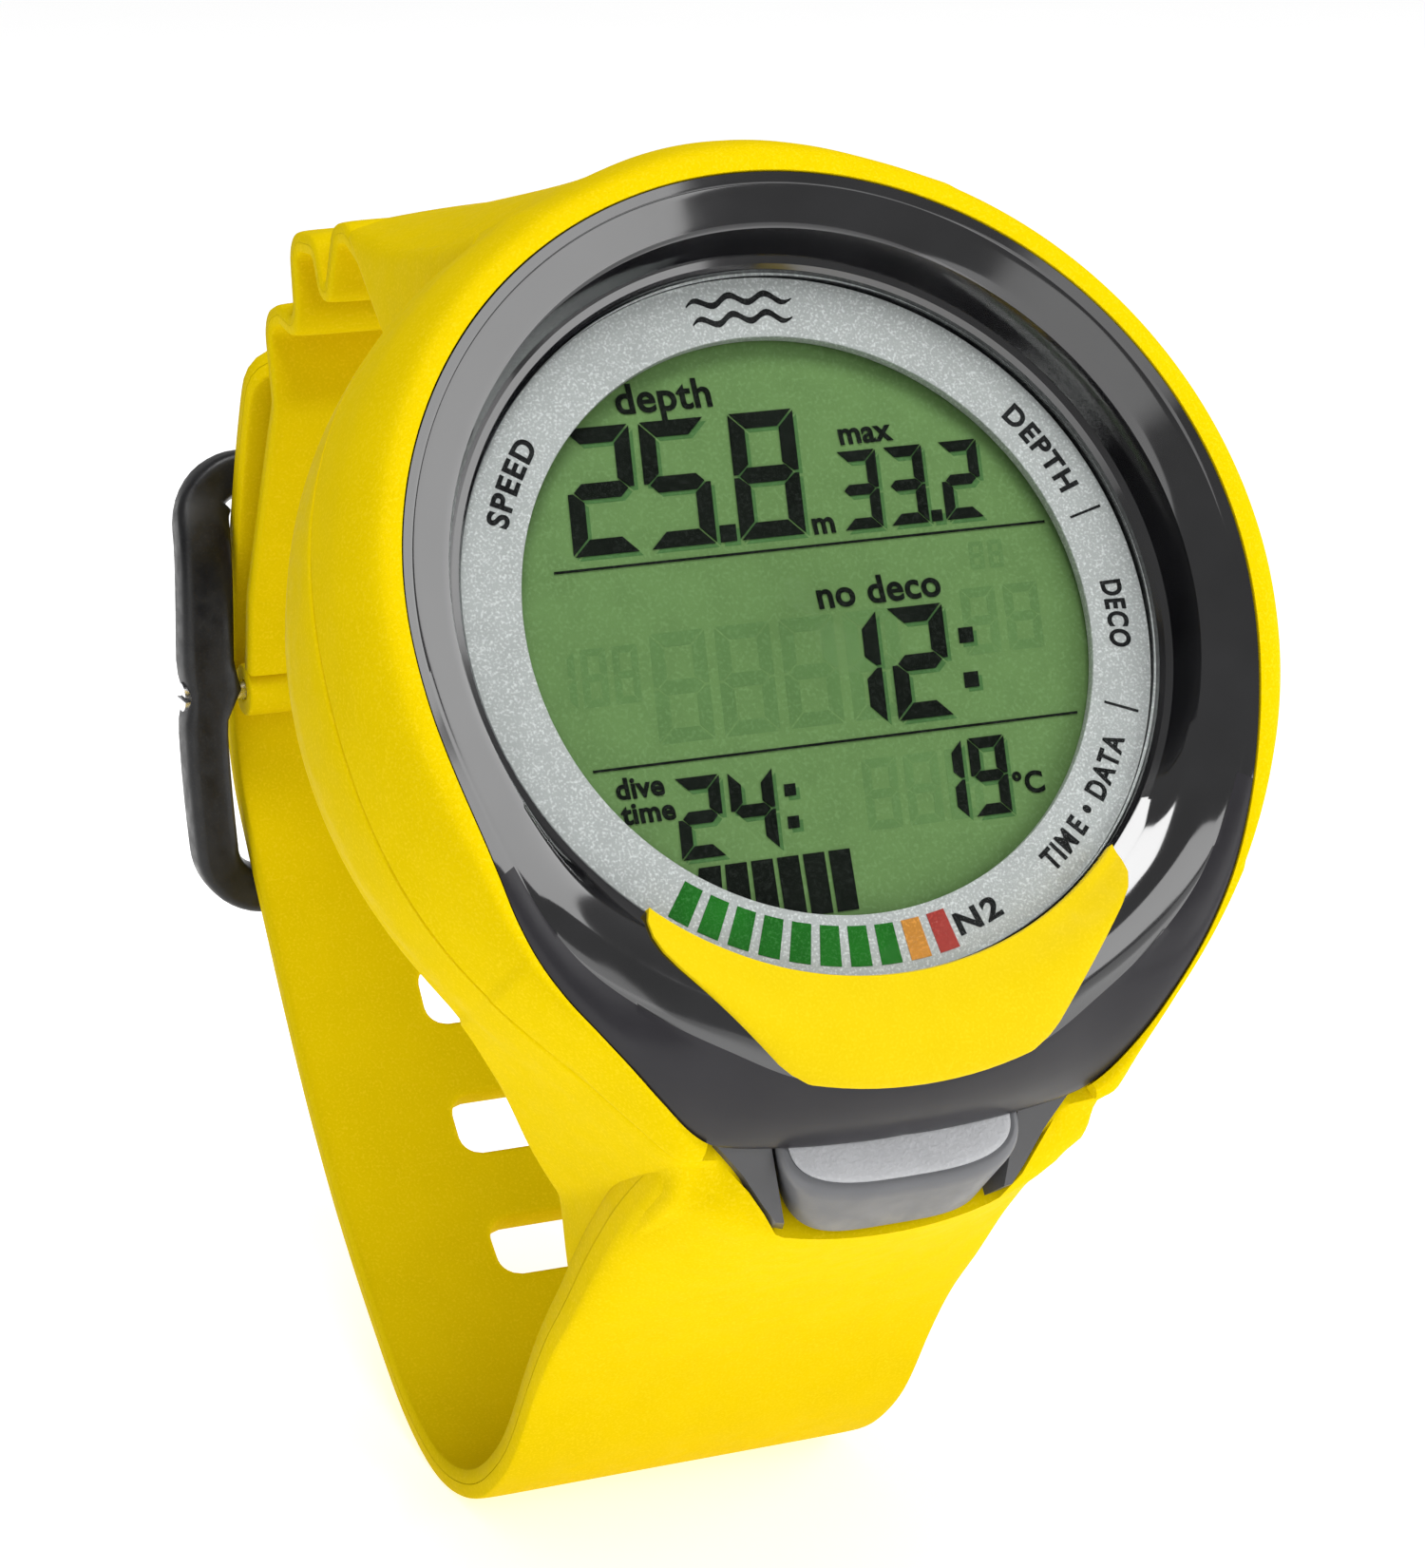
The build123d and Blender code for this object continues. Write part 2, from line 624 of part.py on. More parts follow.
with BuildPart() as pin_screws:
    for sign in (1, -1):
        with BuildSketch(across(PIN_Y, PIN_Z).offset(sign * (BUCKLE_HALF - 1.2))):
            Circle(1.3)
        extrude(amount=sign * 1.1)
        with BuildSketch(across(PIN_Y, PIN_Z).offset(sign * (BUCKLE_HALF - 0.1))):
            Rectangle(3, 0.45)
        extrude(amount=-sign * 0.5, mode=Mode.SUBTRACT)
finish(pin_screws, "pin_screws")

PRONG = [(83.3, -26.4), (83.2, -29.2), (88.2, -34.0), (88.2, -37.6), (86.3, -44.2)]
with BuildPart() as buckle_prong:
    with BuildSketch(side):
        with BuildLine() as tongue:
            FilletPolyline(*PRONG, radius=1.2)
        trace(tongue.line, line_width=1.6)
        with Locations((PIN_Y, PIN_Z)):
            Circle(2.2)
    extrude(amount=2.6, both=True)
    with BuildSketch(side):
        with Locations((PIN_Y, PIN_Z)):
            Circle(PIN_R + 0.08)
    extrude(amount=4, both=True, mode=Mode.SUBTRACT)
finish(buckle_prong, "buckle_prong")
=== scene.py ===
"""Looks of the wrist dive computer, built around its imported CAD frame.

Lengths in this script are millimetres, in two frames that share the dial's middle:
  dial frame  x towards 3 o'clock, v towards 12 o'clock, n out of the dial
  side view   x as above, y and z as in the row frame
on_dial() and in_side() turn them into the row frame's metres.
"""

import json
import math

import bmesh
import bpy
import numpy as np
from mathutils import Matrix, Vector


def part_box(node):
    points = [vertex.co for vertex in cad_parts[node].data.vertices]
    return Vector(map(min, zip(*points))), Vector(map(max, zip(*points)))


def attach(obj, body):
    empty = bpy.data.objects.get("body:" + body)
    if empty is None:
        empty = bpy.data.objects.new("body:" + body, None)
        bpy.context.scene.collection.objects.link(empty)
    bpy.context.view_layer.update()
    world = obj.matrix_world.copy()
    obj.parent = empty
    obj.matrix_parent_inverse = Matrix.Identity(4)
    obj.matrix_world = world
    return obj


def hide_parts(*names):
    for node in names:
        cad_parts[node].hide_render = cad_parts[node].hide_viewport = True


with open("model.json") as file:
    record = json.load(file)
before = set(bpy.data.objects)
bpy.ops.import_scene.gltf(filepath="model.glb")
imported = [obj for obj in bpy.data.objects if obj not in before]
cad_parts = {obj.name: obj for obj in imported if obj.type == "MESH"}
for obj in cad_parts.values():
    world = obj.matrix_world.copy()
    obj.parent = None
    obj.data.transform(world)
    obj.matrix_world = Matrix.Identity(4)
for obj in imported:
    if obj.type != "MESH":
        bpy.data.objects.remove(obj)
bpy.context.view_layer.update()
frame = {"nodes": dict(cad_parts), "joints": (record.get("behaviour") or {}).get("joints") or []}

# ---- the two frames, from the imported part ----
MM = 0.001
joints = {j["name"]: j for j in frame["joints"]}
N_DIR = np.array(joints["door_turn"]["axis"], float)
V_DIR = np.array(joints["button_press"]["axis"], float)
X_DIR = np.array((1.0, 0.0, 0.0))
RING_T = 0.9                               # thickness of the dial ring
ring_low, ring_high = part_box("dial_ring")
ORIGIN = np.array((ring_low + ring_high) / 2) + N_DIR * RING_T / 2 * MM


def on_dial(x, v, n):
    """Row-frame points, in metres, of dial-frame values in mm."""
    x, v, n = np.broadcast_arrays(*(np.asarray(k, float) for k in (x, v, n)))
    return ORIGIN + MM * (x[..., None] * X_DIR + v[..., None] * V_DIR + n[..., None] * N_DIR)


def in_side(x, y, z):
    """Row-frame points, in metres, of side-view values in mm."""
    x, y, z = np.broadcast_arrays(*(np.asarray(k, float) for k in (x, y, z)))
    return ORIGIN + MM * np.stack((x, y, z), axis=-1)


def polar(r, theta, n):
    """Row-frame points of a dial-frame radius and angle, the angle in degrees from 3 o'clock."""
    angle = np.radians(theta)
    return on_dial(r * np.cos(angle), r * np.sin(angle), n)


# ---- small curve tools ----
def smooth_step(t):
    t = np.clip(t, 0.0, 1.0)
    return t * t * (3 - 2 * t)


def soft_max(a, b, reach):
    """The larger of two lengths, rounded over about `reach` mm where they cross."""
    return np.logaddexp(a / reach, b / reach) * reach


def soft_min(a, b, reach):
    return -soft_max(-a, -b, reach)


def through(xs, ys, x):
    """Smooth monotone curve through given points (Fritsch-Carlson)."""
    order = np.argsort(xs)
    xs, ys = np.asarray(xs, float)[order], np.asarray(ys, float)[order]
    gap, rise = np.diff(xs), np.diff(ys) / np.diff(xs)
    slope = np.concatenate(([rise[0]], (rise[:-1] + rise[1:]) / 2, [rise[-1]]))
    flat = np.concatenate(([False], rise[:-1] * rise[1:] <= 0, [False]))
    slope[flat] = 0.0
    for i, m in enumerate(rise):
        if m:
            a, b = slope[i] / m, slope[i + 1] / m
            big = math.hypot(a, b)
            if big > 3:
                slope[i], slope[i + 1] = 3 * a / big * m, 3 * b / big * m
    x = np.clip(x, xs[0], xs[-1])
    k = np.clip(np.searchsorted(xs, x, side="right") - 1, 0, len(gap) - 1)
    t = (x - xs[k]) / gap[k]
    return (
        ys[k] * (1 + 2 * t) * (1 - t) ** 2
        + gap[k] * slope[k] * t * (1 - t) ** 2
        + ys[k + 1] * t * t * (3 - 2 * t)
        + gap[k] * slope[k + 1] * t * t * (t - 1)
    )


LINE_STEPS = 24           # points a smooth line gets for each stretch between two given ones


def smoothed(points):
    """Catmull-Rom curve through points."""
    p = np.array(points, float)
    p = np.vstack((2 * p[0] - p[1], p, 2 * p[-1] - p[-2]))
    t = np.linspace(0, 1, LINE_STEPS, endpoint=False)[:, None]
    parts = []
    for a, b, c, d in zip(p[:-3], p[1:-2], p[2:-1], p[3:]):
        square, cube = 2 * a - 5 * b + 4 * c - d, 3 * b - a - 3 * c + d
        parts.append(0.5 * (2 * b + (c - a) * t + square * t**2 + cube * t**3))
    return np.vstack(parts + [p[-2:-1]])


class Line:
    """A line in the side view, read by the distance along it."""

    def __init__(self, points):
        self.points = np.array(points, float)
        self.at = np.concatenate(([0.0], np.cumsum(np.hypot(*np.diff(self.points, axis=0).T))))
        self.length = self.at[-1]

    def point(self, s):
        return np.stack([np.interp(s, self.at, self.points[:, i]) for i in (0, 1)], axis=-1)

    def normal(self, s, reach=0.8):
        """Unit normal, to the right of the direction of travel."""
        along = self.point(np.minimum(s + reach, self.length)) - self.point(np.maximum(s - reach, 0))
        along /= np.linalg.norm(along, axis=-1, keepdims=True)
        return np.stack((along[..., 1], -along[..., 0]), axis=-1)

    def nearest(self, y, z):
        """Distance along the line of the point nearest to (y, z)."""
        return self.at[np.argmin(np.hypot(self.points[:, 0] - y, self.points[:, 1] - z))]


# ---- mesh tools ----
SHARP = 32            # degrees between two faces that make an edge read as sharp


def piece(name, points, faces, material, body="root", slot=None, stands_for=(), sharp=SHARP):
    """One mesh object that rides on a body and stands for CAD nodes."""
    mesh = bpy.data.meshes.new(name)
    mesh.from_pydata([tuple(p) for p in np.asarray(points).reshape(-1, 3)], [], faces)
    tidy = bmesh.new()
    tidy.from_mesh(mesh)
    bmesh.ops.remove_doubles(tidy, verts=tidy.verts, dist=1e-7)
    bmesh.ops.recalc_face_normals(tidy, faces=tidy.faces)
    tidy.to_mesh(mesh)
    tidy.free()
    return dress(bpy.data.objects.new(name, mesh), material, body, stands_for, sharp)


def dress(obj, material, body="root", stands_for=(), sharp=SHARP):
    """Links a mesh object, shades it smooth up to its sharp edges and ties it to the frame."""
    mesh = obj.data
    if obj.name not in bpy.context.scene.collection.objects:
        bpy.context.scene.collection.objects.link(obj)
    mesh.polygons.foreach_set("use_smooth", [True] * len(mesh.polygons))
    mesh.set_sharp_from_angle(angle=math.radians(sharp))
    mesh.materials.clear()
    mesh.materials.append(material)
    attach(obj, body)
    if stands_for:
        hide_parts(*stands_for)
    return obj


def grid_faces(rows, columns, close_rows=False, close_columns=False, start=0):
    """Quads of a grid of points stored row by row."""
    faces = []
    for i in range(rows if close_rows else rows - 1):
        for j in range(columns if close_columns else columns - 1):
            a, b = i, (i + 1) % rows
            c, d = j, (j + 1) % columns
            corners = (a * columns + c, b * columns + c, b * columns + d, a * columns + d)
            faces.append(tuple(start + k for k in corners))
    return faces


def capped_faces(rows, columns):
    """Faces of a rod made of closed loops, with a flat cap on each end."""
    ends = [tuple(range(columns))[::-1], tuple((rows - 1) * columns + k for k in range(columns))]
    return grid_faces(rows, columns, False, True) + ends


def signed_power(value, power):
    """A power that keeps the sign, for superellipses."""
    return np.sign(value) * np.abs(value) ** power


def lathe(name, profile, material, segments=256, **ties):
    """Ring with a closed (r, n) profile, turned about the dial's axis."""
    r, n = np.array(profile, float).T
    theta = np.arange(segments) * 360 / segments
    points = polar(r[None, :], theta[:, None], n[None, :])
    return piece(name, points, grid_faces(segments, len(profile), True, True), material, **ties)


def rounded(profile, radius, steps=5):
    """Closed 2D outline with each corner rounded by an arc-like curve."""
    p = np.array(profile, float)
    out = []
    for before, corner, after in zip(np.roll(p, 1, 0), p, np.roll(p, -1, 0)):
        a, b = before - corner, after - corner
        la, lb = np.linalg.norm(a), np.linalg.norm(b)
        r = min(radius, la * 0.45, lb * 0.45)
        start, end = corner + a / la * r, corner + b / lb * r
        t = np.linspace(0, 1, steps)[:, None]
        out.append((1 - t) ** 2 * start + 2 * t * (1 - t) * corner + t**2 * end)
    return np.vstack(out)


# ---- materials ----
def surface(name, colour, rough, *, mottle=0.06, mottle_mm=6.0, grain_mm=0.25, grain_depth=0.0,
            speckle=0.0, rough_vary=0.08, wear=0.0, metal=0.0, level=0.5, ior=1.5):
    """Material with mottled colour, speckle, varied gloss, a grain and lighter worn edges."""
    made = bpy.data.materials.new(name)
    made.use_nodes = True
    nodes, links = made.node_tree.nodes, made.node_tree.links
    shader = nodes["Principled BSDF"]
    shader.inputs["Metallic"].default_value = metal
    shader.inputs["Specular IOR Level"].default_value = level
    shader.inputs["IOR"].default_value = ior
    place = nodes.new("ShaderNodeTexCoord")

    def noise(size_mm, detail=3.0):
        node = nodes.new("ShaderNodeTexNoise")
        node.inputs["Scale"].default_value = 1 / (size_mm * MM)
        node.inputs["Detail"].default_value = detail
        links.new(place.outputs["Object"], node.inputs["Vector"])
        return node.outputs["Fac"]

    def ranged(value, low, high, start=0.35, end=0.65):
        node = nodes.new("ShaderNodeMapRange")
        node.inputs["From Min"].default_value = start
        node.inputs["From Max"].default_value = end
        node.inputs["To Min"].default_value = low
        node.inputs["To Max"].default_value = high
        links.new(value, node.inputs["Value"])
        return node.outputs["Result"]

    def tinted(base, factor, other):
        node = nodes.new("ShaderNodeMix")
        node.data_type = "RGBA"
        links.new(factor, node.inputs["Factor"])
        if isinstance(base, tuple):
            node.inputs["A"].default_value = (*base, 1)
        else:
            links.new(base, node.inputs["A"])
        node.inputs["B"].default_value = (*other, 1)
        return node.outputs["Result"]

    darker = tuple(c * (1 - 2 * mottle) for c in colour)
    lighter = tuple(min(1.0, c * (1 + mottle) + 0.02 * mottle) for c in colour)
    shade = tinted(lighter, ranged(noise(mottle_mm), 0.0, 1.0), darker)
    if speckle:
        bright = tuple(min(1.0, c * (1 + speckle) + 0.1 * speckle) for c in colour)
        shade = tinted(shade, ranged(noise(grain_mm, 1.0), 0.0, 0.9, 0.5, 0.72), bright)
    if wear:
        edge = nodes.new("ShaderNodeNewGeometry").outputs["Pointiness"]
        worn = tuple(min(1.0, c * (1 + 2 * wear) + 0.12 * wear) for c in colour)
        shade = tinted(shade, ranged(edge, 0.0, 0.8, 0.52, 0.62), worn)
    links.new(shade, shader.inputs["Base Color"])
    links.new(ranged(noise(mottle_mm / 3), max(0.02, rough - rough_vary), rough + rough_vary),
              shader.inputs["Roughness"])
    if grain_depth:
        bump = nodes.new("ShaderNodeBump")
        bump.inputs["Strength"].default_value = 1.0
        bump.inputs["Distance"].default_value = grain_depth * MM
        links.new(noise(grain_mm, 2.0), bump.inputs["Height"])
        links.new(bump.outputs["Normal"], shader.inputs["Normal"])
    return made


def window_material(name, index, tint):
    """Thin clear window: light passes straight through, with a weak mirror by angle."""
    made = bpy.data.materials.new(name)
    made.use_nodes = True
    nodes, links = made.node_tree.nodes, made.node_tree.links
    nodes.remove(nodes["Principled BSDF"])
    clear = nodes.new("ShaderNodeBsdfTransparent")
    clear.inputs["Color"].default_value = (*tint, 1)
    mirror = nodes.new("ShaderNodeBsdfGlossy")
    mirror.inputs["Roughness"].default_value = 0.03
    fresnel = nodes.new("ShaderNodeFresnel")
    fresnel.inputs["IOR"].default_value = index
    mix = nodes.new("ShaderNodeMixShader")
    links.new(fresnel.outputs["Fac"], mix.inputs["Fac"])
    links.new(clear.outputs["BSDF"], mix.inputs[1])
    links.new(mirror.outputs["BSDF"], mix.inputs[2])
    links.new(mix.outputs["Shader"], nodes["Material Output"].inputs["Surface"])
    return made


yellow = surface("yellow_elastomer", (0.695, 0.51, 0.0003), 0.6, mottle=0.010, mottle_mm=5, grain_mm=0.22,
                 grain_depth=0.02, speckle=0.08, level=0.3, ior=1.06)
yellow_inlay = surface("yellow_inlay", (0.685, 0.50, 0.0003), 0.5, mottle=0.010, mottle_mm=4, grain_mm=0.2,
                       grain_depth=0.012, speckle=0.06, level=0.3, ior=1.2)
gloss_black = surface("gloss_black", (0.004, 0.004, 0.005), 0.09, mottle=0.2, mottle_mm=12,
                      rough_vary=0.02, ior=1.9)
facet_black = surface("satin_charcoal", (0.018, 0.017, 0.020), 0.3, mottle=0.03, mottle_mm=5, grain_mm=0.12,
                      grain_depth=0.0012, rough_vary=0.02, level=0.25)
housing_black = surface("housing_black", (0.016, 0.016, 0.018), 0.36, mottle=0.15, grain_mm=0.15,
                        grain_depth=0.01, wear=0.4)
door_black = surface("door_black", (0.02, 0.02, 0.022), 0.42, mottle=0.15, grain_mm=0.2,
                     grain_depth=0.015, wear=0.5)
buckle_black = surface("buckle_nylon", (0.007, 0.007, 0.008), 0.38, mottle=0.1, mottle_mm=4, grain_mm=0.22,
                       grain_depth=0.004, speckle=0.05, level=0.35)
silver = surface("silver_print", (0.41, 0.41, 0.42), 0.42, mottle=0.015, grain_mm=0.2, grain_depth=0.006,
                 speckle=0.5, metal=0.2)
print_black = surface("print_black", (0.006, 0.006, 0.007), 0.6, mottle=0.2, grain_mm=0.2, speckle=0.2,
                      level=0.1)
lcd_green = surface("lcd_green", (0.118, 0.206, 0.070), 0.6, mottle=0.03, mottle_mm=3, grain_mm=0.3,
                    grain_depth=0.01, speckle=0.12, level=0.1)
lcd_black = surface("lcd_black", (0.003, 0.005, 0.003), 0.6, mottle=0.1, grain_mm=0.3, speckle=0.1,
                    level=0.05)
lcd_ghost = surface("lcd_ghost", (0.100, 0.186, 0.062), 0.6, mottle=0.05, grain_mm=0.28, speckle=0.1,
                    level=0.1)
# painted shadow colour: the darker green of the segments' drop shadow on the panel
lcd_shade = surface("lcd_shadow", (0.058, 0.14, 0.042), 0.6, mottle=0.05, grain_mm=0.28, speckle=0.1,
                    level=0.1)
green_print = surface("green_print", (0.006, 0.125, 0.006), 0.6, mottle=0.1, grain_mm=0.2, speckle=0.2,
                      level=0.15)
orange_print = surface("orange_print", (0.58, 0.22, 0.01), 0.45, mottle=0.1, grain_mm=0.2, speckle=0.2)
red_print = surface("red_print", (0.36, 0.012, 0.004), 0.45, mottle=0.1, grain_mm=0.2, speckle=0.2)
button_grey = surface("button_grey", (0.115, 0.117, 0.125), 0.42, mottle=0.04, grain_mm=0.16,
                      grain_depth=0.006, wear=0.3)
pad_grey = surface("pad_grey", (0.42, 0.425, 0.44), 0.5, mottle=0.03, mottle_mm=3, grain_mm=0.3,
                   grain_depth=0.06, speckle=0.08)
steel = surface("steel", (0.62, 0.62, 0.63), 0.28, mottle=0.06, mottle_mm=1.5, grain_mm=0.1,
                grain_depth=0.004, metal=1.0, wear=0.2)
brass = surface("brass", (0.66, 0.5, 0.2), 0.32, mottle=0.08, grain_mm=0.15, grain_depth=0.004, metal=1.0)
seal_rubber = surface("seal_rubber", (0.02, 0.02, 0.021), 0.6, mottle=0.15, grain_mm=0.2, grain_depth=0.01)
milky = surface("milky_acrylic", (0.72, 0.78, 0.72), 0.3, mottle=0.03, grain_mm=0.4, grain_depth=0.004)
board_green = surface("board_green", (0.01, 0.12, 0.045), 0.35, mottle=0.2, mottle_mm=2, grain_mm=0.5,
                      speckle=0.3, grain_depth=0.01)
chip_black = surface("chip_black", (0.02, 0.02, 0.02), 0.6, mottle=0.1, grain_mm=0.15, grain_depth=0.01)
clear = window_material("clear_window", 1.1, (0.97, 0.985, 0.975))

# ---- outlines in the dial plane, by the angle from 6 o'clock; the same on both sides ----
# angle, radius and height of the bezel's outer edge
EDGE = [
    (0, 38.0, -5.0), (8, 38.3, -5.0), (15, 38.85, -5.0), (20, 39.4, -4.9), (22.5, 39.6, -4.6),
    (25, 39.5, -3.7), (30, 38.8, -1.4), (35, 38.0, 0.3), (40, 37.35, 1.4), (45, 36.8, 2.0), (50, 36.2, 2.7),
    (55, 35.45, 3.6), (60, 34.65, 4.6), (65, 34.05, 5.25), (72, 33.55, 5.7), (80, 33.3, 5.95),
    (90, 33.2, 6.1), (180, 33.2, 6.15),
]
# the same for the crest, where the polished dish meets the rim or the chin's satin facet
CREST = [
    (0, 35.6, 0.5), (12, 35.4, 0.8), (17, 35.2, 1.0), (25, 34.6, 1.5), (35, 34.4, 2.0), (45, 34.3, 2.6),
    (52, 33.9, 3.4), (60, 33.3, 4.6), (70, 32.7, 5.4), (85, 32.4, 5.75), (180, 32.4, 5.85),
]


def from_six(theta):
    return np.abs((np.asarray(theta, float) + 270) % 360 - 180)


def toward(theta, direction, distance):
    """Polar radius of a straight edge, far away where the edge can't be met."""
    return distance / np.maximum(np.cos(np.radians(theta - direction)), 0.05)


def by_angle(table, column, theta):
    at, *values = zip(*table)
    return through(at, values[column], from_six(theta))


def bezel_edge(theta):
    return by_angle(EDGE, 0, theta)


def bezel_edge_n(theta):
    return by_angle(EDGE, 1, theta)


def chin_share(theta):
    """0 on the round part of the bezel, 1 on the chin."""
    return smooth_step((70 - from_six(theta)) / 30)


# ---- bezel: polished dish, crest and the satin facet of the chin ----
DISH_R, DISH_N = 28.3, 1.75                # inner edge of the dish
CASE_R, SEAT_N = 31.7, -1.38               # where the bezel sits on the housing


def dish_n(r, theta):
    """Height of the dish: it rises outward, and on the chin it is a low crown."""
    crest_r, crest_n = by_angle(CREST, 0, theta), by_angle(CREST, 1, theta)
    t = np.clip((r - DISH_R) / (crest_r - DISH_R), 0, 1)
    low = chin_share(theta)
    bowl = soft_min(2.9 * t, 0.6 + 0.4 * t, 0.06)            # a steep foot, then a shallow band
    crown = 1.45 * t - 0.45 * t * t + np.sin(math.pi * t) / (crest_n - DISH_N)
    return DISH_N + (crest_n - DISH_N) * (bowl * (1 - low) + crown * low)


def bezel_rows(theta):
    """Closed (r, n) sections of the bezel, one for each angle."""
    edge, edge_n = bezel_edge(theta), bezel_edge_n(theta)
    crest_r, crest_n = by_angle(CREST, 0, theta), by_angle(CREST, 1, theta)
    columns = [(np.full_like(edge, r), np.full_like(edge, n)) for r, n in
               ((27.45, -1.3), (27.45, 1.15), (27.75, 1.6), (DISH_R, DISH_N))]
    for t in np.linspace(0.1, 0.97, 12):
        r = DISH_R + (crest_r - DISH_R) * t
        columns.append((r, dish_n(r, theta)))
    columns.append((crest_r, crest_n - 0.03))
    for t in (0.1, 0.28, 0.5, 0.7, 0.88, 0.97):
        bulge = 0.5 * chin_share(theta) * math.sin(math.pi * t)
        height = crest_n + (edge_n - crest_n) * t + 0.35 * bulge
        columns.append((crest_r + (edge - crest_r) * t + bulge, height))
    low = np.minimum(SEAT_N, edge_n - 0.42)
    columns += [(edge, edge_n - 0.14), (edge - 0.03, low + 0.15), (edge - 0.3, low),
                (np.full_like(edge, CASE_R), low), (np.full_like(edge, CASE_R), np.full_like(edge, SEAT_N))]
    return np.stack([np.stack(column, -1) for column in columns], axis=1)


theta = np.arange(480) * 0.75
rows = bezel_rows(theta)
bezel = piece(
    "bezel_body",
    polar(rows[..., 0], theta[:, None], rows[..., 1]),
    grid_faces(len(theta), rows.shape[1], True, True),
    gloss_black, slot="bezel", stands_for=("bezel",), sharp=28,
)
bezel.data.materials.append(facet_black)
for face in bezel.data.polygons:                    # the facet is the satin part, from the crest to the lip
    middle = (np.array(face.center) - ORIGIN) / MM
    x, v = middle @ X_DIR, middle @ V_DIR
    angle = math.degrees(math.atan2(v, x))
    if math.hypot(x, v) > by_angle(CREST, 0, angle) and from_six(angle) < 60:
        face.material_index = 1

# ---- crescent inlay under the dial ----
INLAY_SIDE = [(18.55, -20.3), (18.95, -21.4), (19.0, -22.6), (18.6, -23.8), (17.7, -25.1), (11.2, -32.8),
              (10.3, -33.6), (8.9, -34.4)]
INLAY_BOTTOM_V = -35.6
INLAY_INNER_R = 27.45                      # its upper edge follows the dial ring
INLAY_RELIEF, INLAY_T = 0.3, 0.9


def inlay_outline():
    """Outer edge of the crescent as dial-plane points, right to left."""
    low_x, low_v = INLAY_SIDE[-1]
    rise = low_v - INLAY_BOTTOM_V
    bottom = [(x, INLAY_BOTTOM_V + rise * (x / low_x) ** 2) for x in np.linspace(7.6, -7.6, 13)]
    return np.array(INLAY_SIDE + bottom + [(-x, v) for x, v in reversed(INLAY_SIDE)])


def resampled(points, count):
    """The same polyline with evenly spaced points."""
    at = np.concatenate(([0], np.cumsum(np.hypot(*np.diff(points, axis=0).T))))
    even = np.linspace(0, at[-1], count)
    return np.stack([np.interp(even, at, points[:, i]) for i in (0, 1)], -1)


def build_inlay():
    outer = resampled(inlay_outline(), 161)
    angle = np.degrees(np.arctan2(outer[:, 1], outer[:, 0]))
    angle = np.where(angle > 90, angle - 360, angle)
    inner_angle = np.radians(np.linspace(angle[0], angle[-1], len(outer)))
    inner = INLAY_INNER_R * np.stack((np.cos(inner_angle), np.sin(inner_angle)), -1)
    layers = []
    for share, drop in zip((0.0, 0.02, 0.08, 0.2, 0.35, 0.5, 0.65, 0.8, 0.91, 0.965, 0.99, 1.0),
                           (0.5, 0.1, 0.02, 0, 0, 0, 0, 0, 0, 0.04, 0.14, 0.42)):
        p = inner + (outer - inner) * share
        r, a = np.hypot(p[:, 0], p[:, 1]), np.degrees(np.arctan2(p[:, 1], p[:, 0]))
        layers.append((p, dish_n(r, a) + INLAY_RELIEF - drop))
    loop = layers + [(p, n - INLAY_T) for p, n in (layers[-1], layers[0])]
    points = np.stack([on_dial(p[:, 0], p[:, 1], n) for p, n in loop], axis=1)
    piece("crescent", points, capped_faces(len(outer), points.shape[1]), yellow_inlay,
          slot="inlay", stands_for=("crescent_inlay",), sharp=40)


build_inlay()

# ---- dial ring with its printed legends ----
WINDOW_R, DIAL_R = 22.5, 27.3
lathe(
    "dial_ring_print",
    rounded([(WINDOW_R, -0.9), (WINDOW_R, 0.0), (DIAL_R, 0.0), (DIAL_R, -0.9)], 0.12, 4),
    silver, slot="dial_silver", stands_for=("dial_ring",),
)
PRINT_T = 0.05                # thickness of printed ink


def flat_shape(name, outlines, n, material, thick=PRINT_T):
    """Thin closed shapes that lie on the dial: outlines in (x, v), laid at height n."""
    points, faces = [], []
    for outline in outlines:
        start, count = len(points), len(outline)
        for level in (n, n + thick):
            points.extend(on_dial(*np.array(outline, float).T, level))
        faces.append(tuple(start + count + k for k in range(count)))
        faces.append(tuple(start + k for k in reversed(range(count))))
        faces.extend(
            (start + k, start + (k + 1) % count, start + count + (k + 1) % count, start + count + k)
            for k in range(count)
        )
    piece(name, points, faces, material)


CAP_SHARE = 0.7               # capital height of the built-in typeface as a share of its size


def lettering(text, height, weight, spacing):
    """Mesh of a word in the built-in typeface, its capitals `height` mm high, from (0, 0) to the right."""
    curve = bpy.data.curves.new("word", "FONT")
    curve.body = text
    curve.size = height / CAP_SHARE
    curve.offset = weight
    curve.space_character = spacing
    curve.resolution_u = 6
    pair = text.find("ME")
    if pair >= 0:
        curve.body_format[pair].kerning = 7         # the typeface sets these two too close
    holder = bpy.data.objects.new("word", curve)
    bpy.context.scene.collection.objects.link(holder)
    bpy.context.view_layer.update()
    mesh = bpy.data.meshes.new_from_object(holder.evaluated_get(bpy.context.evaluated_depsgraph_get()))
    bpy.data.objects.remove(holder)
    bpy.data.curves.remove(curve)
    return mesh


def printed(name, mesh, place, n, material):
    """Lays a flat lettering mesh on the dial: place() gives (x, v) for its own points."""
    flat = bmesh.new()
    flat.from_mesh(mesh)
    bmesh.ops.remove_doubles(flat, verts=flat.verts, dist=1e-4)
    made = bmesh.ops.extrude_face_region(flat, geom=list(flat.faces))
    raised = {v for v in made["geom"] if isinstance(v, bmesh.types.BMVert)}
    for v in flat.verts:
        x, y = place(v.co.x, v.co.y)
        v.co = Vector(on_dial(x, y, n + (PRINT_T if v in raised else 0.0)))
    bmesh.ops.recalc_face_normals(flat, faces=flat.faces)
    flat.to_mesh(mesh)
    flat.free()
    dress(bpy.data.objects.new(name, mesh), material)


